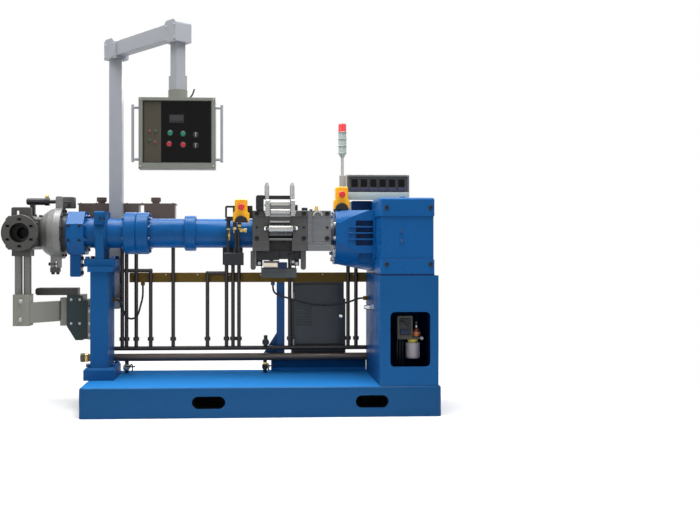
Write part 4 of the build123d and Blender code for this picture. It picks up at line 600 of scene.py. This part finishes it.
sagging_route = [(0.081, 0.262, 0.730), (0.081, 0.262, 0.704), (0.093, 0.248, 0.678), (0.126, 0.222, 0.662),
                 (0.180, 0.198, 0.650), (0.240, 0.181, 0.632), (0.310, 0.169, 0.614), (0.397, 0.160, 0.605),
                 (0.500, 0.155, 0.611), (0.575, 0.151, 0.632), (0.620, 0.150, 0.652), (0.650, 0.150, 0.652)]
loop_route = [(-0.748, 0.258, 0.730), (-0.748, 0.258, 0.704), (-0.746, 0.241, 0.670), (-0.748, 0.215, 0.638),
              (-0.756, 0.194, 0.603), (-0.763, 0.181, 0.567), (-0.776, 0.174, 0.535), (-0.808, 0.167, 0.522),
              (-0.840, 0.158, 0.535), (-0.853, 0.150, 0.567), (-0.859, 0.141, 0.598), (-0.867, 0.132, 0.623),
              (-0.878, 0.126, 0.640), (-0.892, 0.125, 0.648), (-0.905, 0.125, 0.648)]
cable_diameter = 0.012
hang_cable("sagging_cable_line", "sagging_cable", sagging_route, cable_diameter)
hang_cable("hose_loop_line", "hose_loop", loop_route, cable_diameter)


# Screw heads set by geometry nodes

head_crease = math.radians(32)


def head_template(name, *parts):
    """A head of unit size that stands on its seat; each part is a profile and its number of sides."""
    mesh = bpy.data.meshes.new(name)
    form = bmesh.new()
    for profile, sides in parts:
        part = spun(profile, sides)
        for face in part.faces:
            face.smooth = True
        part.to_mesh(mesh)
        part.free()
        form.from_mesh(mesh)
    form.to_mesh(mesh)
    form.free()
    mesh.set_sharp_from_angle(angle=head_crease)
    return new_object(name, mesh)


hex_profile = [(0.5, 0.08), (0.5, 0.52), (0.42, 0.60)]
washer_profile = [(0.6, 0.0), (0.62, 0.03), (0.6, 0.09)]
socket_profile = [(0.5, 0.0), (0.5, 0.42), (0.46, 0.50), (0.30, 0.50), (0.27, 0.48), (0.25, 0.18)]
pan_profile = [(0.5, 0.0), (0.5, 0.10), (0.44, 0.22), (0.30, 0.30), (0.16, 0.32), (0.12, 0.24)]
flush_profile = [(0.5, 0.0), (0.5, 0.14), (0.46, 0.17), (0.30, 0.17), (0.27, 0.15), (0.25, 0.04)]
templates = {
    "hex": head_template("hex_head", (hex_profile, 6), (washer_profile, 24)),
    "socket": head_template("socket_head", (socket_profile, 24)),
    "pan": head_template("pan_head", (pan_profile, 20)),
    "flush": head_template("flush_head", (flush_profile, 24)),
}


def make_scatter_tree():
    """Puts one head on every point, turned to the point's axis and scaled to its size."""
    tree = bpy.data.node_groups.new("scatter_heads", "GeometryNodeTree")
    for label, kind in (("Geometry", "Geometry"), ("Head", "Object"), ("Finish", "Material")):
        tree.interface.new_socket(label, in_out="INPUT", socket_type="NodeSocket" + kind)
    tree.interface.new_socket("Geometry", in_out="OUTPUT", socket_type="NodeSocketGeometry")
    source, sink = tree.nodes.new("NodeGroupInput"), tree.nodes.new("NodeGroupOutput")
    head = add(tree, "GeometryNodeObjectInfo", {"Object": source.outputs["Head"]})
    named = {}
    for label, kind in (("axis", "FLOAT_VECTOR"), ("size", "FLOAT"), ("spin", "FLOAT")):
        node = tree.nodes.new("GeometryNodeInputNamedAttribute")
        node.data_type = kind
        node.inputs["Name"].default_value = label
        named[label] = node.outputs["Attribute"]
    upright = add(tree, "FunctionNodeAlignRotationToVector", {"Vector": named["axis"]})
    upright.axis = "Z"
    spin = add(tree, "FunctionNodeAxisAngleToRotation", {"Axis": (0, 0, 1), "Angle": named["spin"]})
    turned = add(tree, "FunctionNodeRotateRotation",
                 {"Rotation": upright.outputs["Rotation"], "Rotate By": spin.outputs["Rotation"]})
    turned.rotation_space = "LOCAL"
    copies = add(tree, "GeometryNodeInstanceOnPoints",
                 {"Points": source.outputs["Geometry"], "Instance": head.outputs["Geometry"],
                  "Rotation": turned.outputs["Rotation"], "Scale": named["size"]})
    real = add(tree, "GeometryNodeRealizeInstances", {"Geometry": copies.outputs["Instances"]})
    finish = add(tree, "GeometryNodeSetMaterial",
                 {"Geometry": real.outputs["Geometry"], "Material": source.outputs["Finish"]})
    fill(tree, sink, {"Geometry": finish.outputs["Geometry"]})
    return tree


scatter_heads = make_scatter_tree()


def fix_heads(name, head, material, groups, body="machine"):
    """Sets heads of one kind; groups hold (places, axis, size) in metres."""
    points, axes, sizes = [], [], []
    for places, axis, size in groups:
        points.extend(places)
        axes.extend(axis * len(places))
        sizes.extend([size] * len(places))
    mesh = bpy.data.meshes.new(name)
    mesh.from_pydata(points, [], [])
    mesh.attributes.new("axis", "FLOAT_VECTOR", "POINT").data.foreach_set("vector", axes)
    mesh.attributes.new("size", "FLOAT", "POINT").data.foreach_set("value", sizes)
    turn_step = 2.4
    spins = [turn_step * i for i in range(len(points))]
    mesh.attributes.new("spin", "FLOAT", "POINT").data.foreach_set("value", spins)
    seeds = new_object(name + "_points", mesh)
    modifier = seeds.modifiers.new("scatter", "NODES")
    modifier.node_group = scatter_heads
    values = {"Head": templates[head], "Finish": material}
    for item in scatter_heads.interface.items_tree:
        if item.name in values:
            modifier[item.identifier] = values[item.name]
    piece = new_object(name, shown_mesh(seeds))
    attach(piece, body)


def ring(x, radius, count, start):
    """Places on a circle round the barrel's axis, the first one at a start angle in degrees."""
    angles = [math.radians(start + 360 * i / count) for i in range(count)]
    return [(x, axis_y + radius * math.cos(angle), axis_z + radius * math.sin(angle)) for angle in angles]


def grid(xs, ys, zs):
    """Every place with one of the x, one of the y and one of the z values."""
    return [(x, y, z) for x in xs for y in ys for z in zs]


def inside(node, inset):
    """The two x places a little inside a node's left and right side."""
    low, high = boxes[node]
    return low.x + inset, high.x - inset


left, right, front, back, up, down = (-1, 0, 0), (1, 0, 0), (0, -1, 0), (0, 1, 0), (0, 0, 1), (0, 0, -1)
boxes = {name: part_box(name) for name in nodes}

feed_low, feed_high = boxes["feed_block"]
feed_columns = (feed_low.x + 0.026, feed_high.x - 0.025)
side_column = feed_high.x + 0.117
side_block_top = 1.195
strip_y, wall_y, recess_y = -0.110, -0.100, -0.086
low_row, middle_row, high_row = 1.028, 1.094, 1.178
fix_heads("feed_block_screws", "socket", black_bolt, [
    (grid(feed_columns, (strip_y,), (high_row,)), front, 0.028),
    (grid(feed_columns, (wall_y,), (low_row,)), front, 0.028),
    (grid((side_column,), (recess_y,), (low_row, high_row)), front, 0.028),
    (grid(feed_columns, (wall_y,), (middle_row,)), front, 0.015),
    (grid((side_column,), (recess_y,), (middle_row,)), front, 0.015),
    ([(0.263, -0.080, side_block_top)], up, 0.036),
    ([(0.302, -0.080, side_block_top)], up, 0.018),
    (grid(inside("feed_block", 0.026), (feed_high.y,), (feed_low.z + 0.03, feed_high.z - 0.03)), back, 0.026),
])

lid_high = boxes["gearbox_lid"][1]
reducer_columns, reducer_rows = (0.721, 0.976), (0.877, 1.204)
fix_heads("reducer_screws", "flush", black_bolt, [
    (grid(reducer_columns, (-0.345,), reducer_rows), front, 0.026),
    (grid(reducer_columns, (lid_high.y,), reducer_rows), back, 0.028),
    (grid((lid_high.x,), (-0.28, -0.05, 0.19), reducer_rows), right, 0.028),
])
fix_heads("reducer_plugs", "hex", blue_bolt, [
    (grid((0.807,), (-0.338,), (1.011, 1.069)), front, 0.018),
    ([(0.850, -0.120, lid_high.z), (0.930, 0.150, lid_high.z)], up, 0.030),
])
lantern_ring = ring(boxes["bearing_lantern"][0].x, 0.165, 12, 11.0)
lid_edge_z = 1.19
fix_heads("lantern_nuts", "hex", zinc, [
    ([place for place in lantern_ring if place[2] < lid_edge_z], left, 0.024),
])

fix_heads("barrel_flange_bolts", "hex", blue_bolt, [
    (ring(boxes["front_barrel_flange"][0].x, 0.109, 10, 18.0), left, 0.021),
    (ring(boxes["rear_barrel_flange"][1].x, 0.109, 10, 18.0), right, 0.021),
    (ring(boxes["head_flange"][1].x, 0.110, 8, 22.5), right, 0.022),
])
flat_distance = 0.131
flat_columns, flat_rows = (-1.152, -1.086), (1.017, 1.104)
fix_heads("head_flange_screws", "socket", black_bolt, [
    (grid(flat_columns, (axis_y - flat_distance,), flat_rows), front, 0.017),
    (grid(flat_columns, (axis_y + flat_distance,), flat_rows), back, 0.017),
    (grid((boxes["head_flange"][0].x + 0.076,), (0.050,), (0.818, 0.862, 0.906)), right, 0.024),
    ([(-0.964, -0.063, 1.148), (-0.939, -0.063, 1.148)], front, 0.015),
    ([(-1.166, 0.024, 1.228)], front, 0.020),
    ([(-0.700, 0.060, 1.189)], up, 0.016),
])

saddle_low, saddle_high = boxes["barrel_saddle"]
column_x = (saddle_low.x + saddle_high.x) / 2
column_sides = (column_x - 0.074, column_x + 0.074)
fix_heads("support_bolts", "hex", blue_bolt, [
    (grid(column_sides, (axis_y - 0.088, axis_y + 0.088), (0.902,)), up, 0.028),
    (grid(column_sides, (axis_y - 0.060, axis_y + 0.105), (0.250,)), up, 0.030),
])

fix_heads("clamp_bolts", "hex", black_bolt, [
    (grid((-1.263, -1.234), (0.025,), (0.822,)), down, 0.022),
    (grid((-1.276,), (0.025,), (0.872,)), left, 0.022),
    (ring(boxes["head_neck"][0].x, 0.140, 12, 15.0), right, 0.016),
])
body_low, body_high = boxes["cross_head_body"]
fix_heads("cross_head_screws", "socket", black_bolt, [
    (grid((-1.480, -1.362), (-0.02, 0.135), (1.160,)), up, 0.026),
    (grid((body_low.x,), (-0.02, 0.115), (1.01, 1.11)), left, 0.026),
    (grid((body_high.x,), (-0.10,), (1.005, 1.115)), right, 0.020),
])
arm_low, arm_high = boxes["arm_box"]
fix_heads("carrier_bolts", "hex", zinc, [
    (grid((die_x,), (boxes["carrier_bracket"][0].y,), (0.545, 0.655)), front, 0.022),
    (grid((arm_low.x + 0.026, arm_high.x - 0.048), (arm_low.y,), (0.510, 0.655)), front, 0.014),
    (grid((-1.041,), (0.025,), (0.440, 0.510, 0.585)), front, 0.018),
])

box_low, box_high = boxes["controller_box"]
fix_heads("controller_screws", "pan", zinc, [
    (grid(inside("controller_box", 0.008), (box_low.y,), (box_high.z - drop,)), front, 0.008)
    for drop in (0.008, 0.129)
])
tank_low, tank_high = boxes["rear_tanks"]
tank_lid_z = 1.256
tank_lid_xs = [tank_low.x + 0.018 + 0.0985 * i for i in range(7)]
fix_heads("tank_lid_screws", "pan", black_bolt, [
    (grid(tank_lid_xs, (tank_low.y + 0.010, tank_high.y - 0.012), (tank_lid_z,)), up, 0.012),
])
trunk_xs = [-0.80 + 0.20 * i for i in range(8)]
fix_heads("trunk_lid_screws", "pan", zinc, [
    (grid(trunk_xs, (0.240,), (0.798,)), front, 0.010),
    (grid(trunk_xs, (0.300,), (0.780,)), back, 0.010),
])
cabinet_low, cabinet_high = boxes["heating_cabinet"]
fix_heads("cabinet_screws", "pan", zinc, [
    (grid(inside("heating_cabinet", 0.02), (y,), (0.30, 0.61)), side, 0.012)
    for y, side in ((cabinet_low.y, front), (cabinet_high.y, back))
])
panel_low, panel_high = boxes["panel_box"]
fix_heads("panel_screws", "pan", zinc, [
    (grid(inside("panel_box", 0.011), (panel_low.y,), (1.440, 1.824)), front, 0.010),
    (grid(inside("panel_box", 0.03), (panel_high.y,), (1.50, 1.80)), back, 0.012),
], body="panel")

# The boom's heading turns the screws of its two knuckles
boom_turn = Matrix.Rotation(math.radians(-51), 4, "Z")
mast_top = Vector((-0.919, 0.280, 2.232))
knuckle_places = []
for along, drop in ((0.0, 0.0), (0.691, -0.010)):
    for x, y, z in grid((-0.042, 0.042), (-0.056,), (-0.048, 0.030)):
        knuckle_places.append(tuple(mast_top + boom_turn @ Vector((along + x, y, z + drop))))
boom_side = tuple(boom_turn @ Vector((0, -1, 0)))
fix_heads("boom_screws", "pan", zinc, [(knuckle_places, boom_side, 0.014)], body="boom_arm")
for head in templates.values():
    bpy.data.objects.remove(head)


# Small pieces

piece_crease = math.radians(35)


class Piece:
    """Collects bevelled boxes, turned shapes and pipes in one mesh."""

    def __init__(self, name):
        """Starts an empty piece."""
        self.mesh = bpy.data.meshes.new(name)
        self.form = bmesh.new()

    def take(self, made, material):
        """Adds a closed shape in one material."""
        if material.name not in self.mesh.materials:
            self.mesh.materials.append(material)
        bmesh.ops.recalc_face_normals(made, faces=made.faces)
        place = self.mesh.materials.find(material.name)
        for face in made.faces:
            face.material_index = place
            face.smooth = True
        carrier = bpy.data.meshes.new("carrier")
        made.to_mesh(carrier)
        made.free()
        self.form.from_mesh(carrier)
        bpy.data.meshes.remove(carrier)

    def box(self, low, high, material, bevel):
        """Adds a box between two corners, with rounded edges."""
        made = bmesh.new()
        for corner in bmesh.ops.create_cube(made, size=1.0)["verts"]:
            for axis in range(3):
                corner.co[axis] = high[axis] if corner.co[axis] > 0 else low[axis]
        bmesh.ops.bevel(made, geom=made.edges[:], offset=bevel, segments=2, profile=0.6, affect="EDGES")
        self.take(made, material)

    def turned(self, profile, base, direction, material, sides=28):
        """Adds a turned shape that stands on its base and points in a direction."""
        made = spun(profile, sides)
        lean = Vector((0, 0, 1)).rotation_difference(Vector(direction)).to_matrix().to_4x4()
        made.transform(Matrix.Translation(base) @ lean)
        self.take(made, material)

    def pipe(self, route, diameter, material):
        """Adds a bent pipe or hose."""
        made = bmesh.new()
        made.from_mesh(shown_mesh(smooth_line("pipe_line", route, diameter)))
        bmesh.ops.remove_doubles(made, verts=made.verts, dist=0.00001)
        self.take(made, material)

    def finish(self, record_slot, body="machine"):
        """Makes the object and attaches it to its body; record_slot is not used."""
        self.form.to_mesh(self.mesh)
        self.form.free()
        self.mesh.set_sharp_from_angle(angle=piece_crease)
        piece = new_object(self.mesh.name, self.mesh)
        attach(piece, body)
        return piece


# Operator panel

window_y = -0.312
buttons = Piece("panel_push_buttons")
button_bezel = [(0.0180, 0), (0.0180, 0.004), (0.0160, 0.006)]
button_cap = [(0.0140, 0.002), (0.0140, 0.0075), (0.0115, 0.0095)]
for x, z, colour in ((-0.524, 1.630, panel_green), (-0.450, 1.626, panel_green), (-0.378, 1.620, dark_steel),
                     (-0.530, 1.567, panel_red), (-0.450, 1.563, panel_red), (-0.378, 1.559, dark_steel)):
    buttons.turned(button_bezel, (x, window_y, z), front, black)
    buttons.turned(button_cap, (x, window_y, z), front, colour)
lamp_cap = [(0.0085, 0), (0.0085, 0.004), (0.0060, 0.006)]
for x, z, colour in ((-0.641, 1.640, dull_red), (-0.607, 1.640, dull_green), (-0.641, 1.588, dull_green),
                     (-0.609, 1.578, dull_red)):
    buttons.turned(lamp_cap, (x, window_y, z), front, colour)
for z in (1.620, 1.559):
    buttons.box((-0.3805, window_y - 0.015, z - 0.010), (-0.3755, window_y - 0.009, z + 0.010), zinc, 0.0008)
buttons.box((-0.530, window_y - 0.004, 1.688), (-0.444, window_y, 1.736), black, 0.0015)
buttons.box((-0.522, window_y - 0.005, 1.700), (-0.452, window_y - 0.003, 1.728), display_black, 0.0008)
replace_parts(buttons.finish("button_green", "panel"), "panel_buttons")

panel_trim = Piece("panel_trim")
for x in (panel_low.x + 0.028, panel_high.x - 0.031):
    panel_trim.box((x, window_y - 0.003, 1.462), (x + 0.003, window_y, 1.812), black, 0.0008)
for z in (1.460, 1.810):
    panel_trim.box((panel_low.x + 0.028, window_y - 0.003, z), (panel_high.x - 0.028, window_y, z + 0.003),
                   black, 0.0008)
lever_foot = [(0.009, 0), (0.009, 0.010), (0.007, 0.013)]
lever_route = [(-0.414, -0.257, 1.843), (-0.405, -0.257, 1.853), (-0.397, -0.257, 1.868), (-0.389, -0.257, 1.893)]
panel_trim.turned(lever_foot, (-0.414, -0.257, 1.832), up, black)
panel_trim.pipe(lever_route, 0.009, black)
hinge_pin = [(0.006, -0.018), (0.006, 0.018)]
for z in (1.50, 1.78):
    panel_trim.turned(hinge_pin, (panel_high.x - 0.006, panel_high.y, z), up, zinc)
panel_trim.finish("black_plastic", "panel")

# Temperature controllers

face_y = boxes["controller_modules"][0].y
modules_middle_x, module_pitch, key_pitch = 0.7215, 0.058, 0.011
controllers = Piece("controller_faces")
for i in range(6):
    x = modules_middle_x + module_pitch * (i - 2.5)
    controllers.box((x - 0.0225, face_y - 0.0012, 1.3160), (x + 0.0225, face_y + 0.001, 1.3390), strip_blue, 0.0006)
    controllers.box((x - 0.0200, face_y - 0.0010, 1.3450), (x + 0.0190, face_y + 0.001, 1.3930), window_dark, 0.0006)
    for step in range(4):
        key_x = x - 0.0165 + key_pitch * step
        controllers.box((key_x - 0.0038, face_y - 0.0022, 1.3175), (key_x + 0.0038, face_y - 0.001, 1.3225),
                        black, 0.0006)
controllers.box((box_low.x + 0.003, face_y - 0.0035, box_low.z + 0.002), (box_high.x - 0.003, face_y + 0.004, 1.3125),
                lamp_grey, 0.0015)
controllers.finish("screen")

# Feed opening

roller_pins = Piece("roller_pins")
lug_pin = [(0.013, -0.002), (0.013, 0.004), (0.010, 0.009), (0.006, 0.010)]
guide_pin = [(0.0085, 0), (0.0085, 0.004), (0.0065, 0.006)]
for x, side in ((0.026, left), (0.210, right)):
    roller_pins.turned(lug_pin, (x, -0.126, 1.086), side, chrome)
for x, side in ((0.026, left), (0.201, right)):
    for z in (1.183, 1.226):
        roller_pins.turned(guide_pin, (x, -0.141, z), side, zinc)
roller_pins.finish("bright_steel")

feed_trim = Piece("feed_trim")
scraper_left, scraper_right, scraper_back = 0.053, 0.172, -0.109
feed_trim.box((0.204, -0.100, 1.1935), (0.221, -0.070, 1.2300), black, 0.003)
feed_trim.box((0.050, -0.1035, 1.0225), (0.186, -0.098, 1.0275), bright_plate, 0.001)
feed_trim.box((scraper_left, -0.1160, 1.1215), (scraper_right, scraper_back, 1.1340), bright_plate, 0.0015)
# Painted shade: a thin black strip fills the gap under the scraper bar.
feed_trim.box((scraper_left, -0.1115, 1.1100), (scraper_right, scraper_back, 1.1205), black, 0.0005)
for x in (0.052, 0.128):
    feed_trim.box((x, -0.062, 0.968), (x + 0.016, -0.053, 1.008), black, 0.002)
side_fitting = [(0.012, 0), (0.012, 0.016), (0.009, 0.022), (0.009, 0.034), (0.006, 0.038)]
feed_trim.turned(side_fitting, (0.345, 0.060, 1.1945), up, brass)
feed_trim.finish("dark_steel")

under_feed = Piece("under_feed_parts")
under_feed.box((-0.030, -0.072, 0.896), (0.110, 0.010, 0.953), black, 0.004)
under_feed.box((0.108, -0.060, 0.902), (0.255, 0.020, 0.953), dark_steel, 0.004)
under_feed.box((-0.030, -0.060, 0.860), (0.010, 0.000, 0.898), black, 0.004)
under_feed.box((0.180, -0.058, 0.862), (0.232, 0.000, 0.904), black, 0.004)
under_feed.box((0.012, -0.092, 0.856), (0.100, -0.066, 0.880), cream, 0.003)
under_feed.box((0.104, -0.086, 0.848), (0.158, -0.046, 0.884), deep_blue_paint, 0.003)
cover_nut = [(0.012, -0.006), (0.012, 0.006), (0.009, 0.010), (0.004, 0.011)]
for x, z in ((-0.010, 0.878), (0.194, 0.886), (0.217, 0.876)):
    under_feed.turned(cover_nut, (x, -0.060, z), front, zinc)
motor_lead = [(0.170, -0.058, 0.930), (0.172, -0.080, 0.932), (0.214, -0.086, 0.925), (0.224, -0.080, 0.895),
              (0.222, -0.056, 0.888)]
under_feed.pipe(motor_lead, 0.010, black)
under_feed.finish("dark_steel")

# Hose fittings on the barrel

fittings = Piece("hose_fittings")
union = [(0.0095, 0), (0.0095, 0.020), (0.0125, 0.022), (0.0125, 0.036), (0.0095, 0.038), (0.0085, 0.062),
         (0.0115, 0.064), (0.0115, 0.078), (0.0090, 0.080)]
elbow_end = [(0.011, 0), (0.011, 0.014), (0.008, 0.015), (0.008, 0.026), (0.012, 0.027), (0.012, 0.042)]
for x, z in ((-0.196, 1.016), (-0.158, 1.060)):
    fittings.turned(union, (x, -0.062, z), up, brass, 12)
fittings.turned(union[:6], (-0.130, -0.062, 1.075), up, brass, 12)
fittings.turned(elbow_end, (-0.128, -0.076, 1.076), right, brass, 6)
fittings.finish("bright_steel")

# Lubrication pump behind the stand's window

pump = Piece("pump_trim")
pump_x, pump_y = 0.916, -0.220
dome = [(0.021, 0), (0.021, 0.010), (0.017, 0.020), (0.010, 0.026), (0.004, 0.028)]
nipple = [(0.010, 0), (0.010, 0.010), (0.007, 0.012), (0.007, 0.026), (0.009, 0.028), (0.006, 0.036)]
reservoir_cap = [(0.029, 0), (0.029, 0.004), (0.031, 0.006), (0.031, 0.018), (0.028, 0.022)]
sight_glass = [(0.010, 0), (0.010, 0.012), (0.007, 0.016)]
pump.turned(dome, (pump_x, pump_y, 0.472), up, copper)
pump.turned(nipple, (pump_x, pump_y, 0.502), up, chrome, 16)
pump.turned(reservoir_cap, (0.896, -0.213, 0.414), up, pale_yellow)
pump.turned(sight_glass, (0.940, -0.255, 0.442), front, white, 20)
for x, drop in ((0.806, 0.30), (0.822, 0.27), (0.838, 0.33)):
    oil_line = [(x, -0.200, 0.447), (x, -0.205, 0.420), (x - 0.004, -0.215, drop + 0.06), (x + 0.002, -0.200, drop),
                (x + 0.002, -0.185, 0.200)]
    pump.pipe(oil_line, 0.009, black)
pump.box((0.814, -0.250, 0.500), (0.868, -0.240, 0.556), dark_steel, 0.003)
pump.box((0.816, -0.252, 0.464), (0.866, -0.240, 0.494), deep_blue_paint, 0.003)
display_lead = [(0.822, -0.250, 0.545), (0.830, -0.262, 0.540), (0.850, -0.264, 0.530), (0.860, -0.250, 0.512)]
pump.pipe(display_lead, 0.006, black)
pump.finish("cast_grey")

# Cable gland of the stand

stand_trim = Piece("stand_trim")
gland = [(0.020, 0), (0.020, 0.012), (0.016, 0.013), (0.016, 0.028), (0.019, 0.030), (0.019, 0.044), (0.013, 0.050),
         (0.011, 0.062)]
stand_trim.turned(gland, (0.681, -0.120, 0.614), left, chrome, 6)
stand_trim.finish("bright_steel")

# Heating cabinet door, hinges and louvres

cabinet_trim = Piece("cabinet_door")
door_y, back_y = cabinet_low.y, cabinet_high.y
cabinet_trim.box((cabinet_low.x + 0.012, door_y - 0.004, cabinet_low.z + 0.012),
                 (cabinet_high.x - 0.012, door_y + 0.002, cabinet_high.z - 0.016), cabinet, 0.002)
for i in range(9):
    z = 0.47 + 0.017 * i
    cabinet_trim.box((0.232, door_y - 0.008, z), (0.330, door_y - 0.003, z + 0.007), cabinet, 0.002)
latch = [(0.013, 0), (0.013, 0.004), (0.008, 0.006), (0.008, 0.012)]
cabinet_trim.turned(latch, (0.520, door_y - 0.004, 0.53), front, chrome)
door_hinge = [(0.007, -0.022), (0.007, 0.022)]
for z in (0.36, 0.66):
    cabinet_trim.turned(door_hinge, (0.214, door_y - 0.006, z), up, zinc, 16)
for i in range(7):
    z = 0.40 + 0.022 * i
    cabinet_trim.box((0.250, back_y - 0.002, z), (0.500, back_y + 0.005, z + 0.008), cabinet, 0.002)
cabinet_trim.finish("cabinet_grey")

# Signal tower rings

tower = Piece("tower_rings")
tower_x, tower_y = 0.509, 0.075
joint_ring = [(0.0275, 0), (0.0290, 0.001), (0.0290, 0.003), (0.0275, 0.004)]
lens_tip = [(0.012, 0), (0.012, 0.002), (0.009, 0.004)]
post_foot = [(0.026, 0), (0.026, 0.005), (0.022, 0.008)]
for z in (1.556, 1.600, 1.644, 1.687):
    tower.turned(joint_ring, (tower_x, tower_y, z), up, lamp_grey, 36)
tower.turned(lens_tip, (tower_x, tower_y, 1.741), up, red_lens, 24)
tower.turned(post_foot, (tower_x, tower_y, 1.2835), up, zinc, 36)
tower.finish("lamp_grey")

# Clamp cylinder fittings

clamp_trim = Piece("clamp_fittings")
clamp_union = [(0.008, 0), (0.008, 0.012), (0.011, 0.014), (0.011, 0.026), (0.007, 0.030)]
clamp_trim.turned(clamp_union, (-1.307, 0.060, 1.264), up, brass, 6)
clamp_trim.box((-1.206, 0.024, 1.212), (-1.137, 0.096, 1.281), head_grey, 0.007)
clamp_trim.box((-1.196, 0.018, 1.246), (-1.150, 0.102, 1.254), cast_dark, 0.002)
clamp_trim.box((-1.276, -0.002, 0.822), (-1.221, 0.052, 0.853), head_grey, 0.005)
clamp_trim.box((-1.268, -0.004, 0.868), (-1.229, 0.054, 0.876), cast_dark, 0.002)
clamp_trim.finish("bright_steel")

# Manifold ends and drain valves

drain_trim = Piece("drain_trim")
manifold_left = boxes["manifolds"][0].x
manifold_y, manifold_z = 0.226, 0.275
end_cap = [(0.0285, 0), (0.0285, 0.022), (0.0265, 0.024)]
end_ring = [(0.0275, 0), (0.0275, 0.016), (0.0260, 0.017)]
pale_valve = [(0.016, 0), (0.021, 0.006), (0.021, 0.030), (0.016, 0.036)]
brass_valve = [(0.010, 0), (0.013, 0.004), (0.013, 0.020), (0.010, 0.024)]
pale_valve_pipe = [(-0.828, 0.206, 0.214), (-0.815, 0.204, 0.236), (-0.806, 0.200, 0.232), (-0.806, 0.198, 0.190)]
brass_valve_pipe = [(0.040, 0.206, 0.232), (0.052, 0.203, 0.236), (0.057, 0.200, 0.214), (0.050, 0.198, 0.192)]
drain_trim.turned(end_cap, (manifold_left + 0.001, manifold_y, manifold_z), right, pipe, 12)
drain_trim.turned(end_ring, (manifold_left + 0.030, manifold_y, manifold_z), right, brass, 28)
drain_trim.turned(pale_valve, (-0.863, 0.206, 0.214), right, lamp_grey, 8)
drain_trim.pipe(pale_valve_pipe, 0.008, black)
drain_trim.turned(brass_valve, (0.018, 0.206, 0.232), right, brass, 8)
drain_trim.pipe(brass_valve_pipe, 0.008, dark_steel)
drain_trim.finish("pipe_steel")
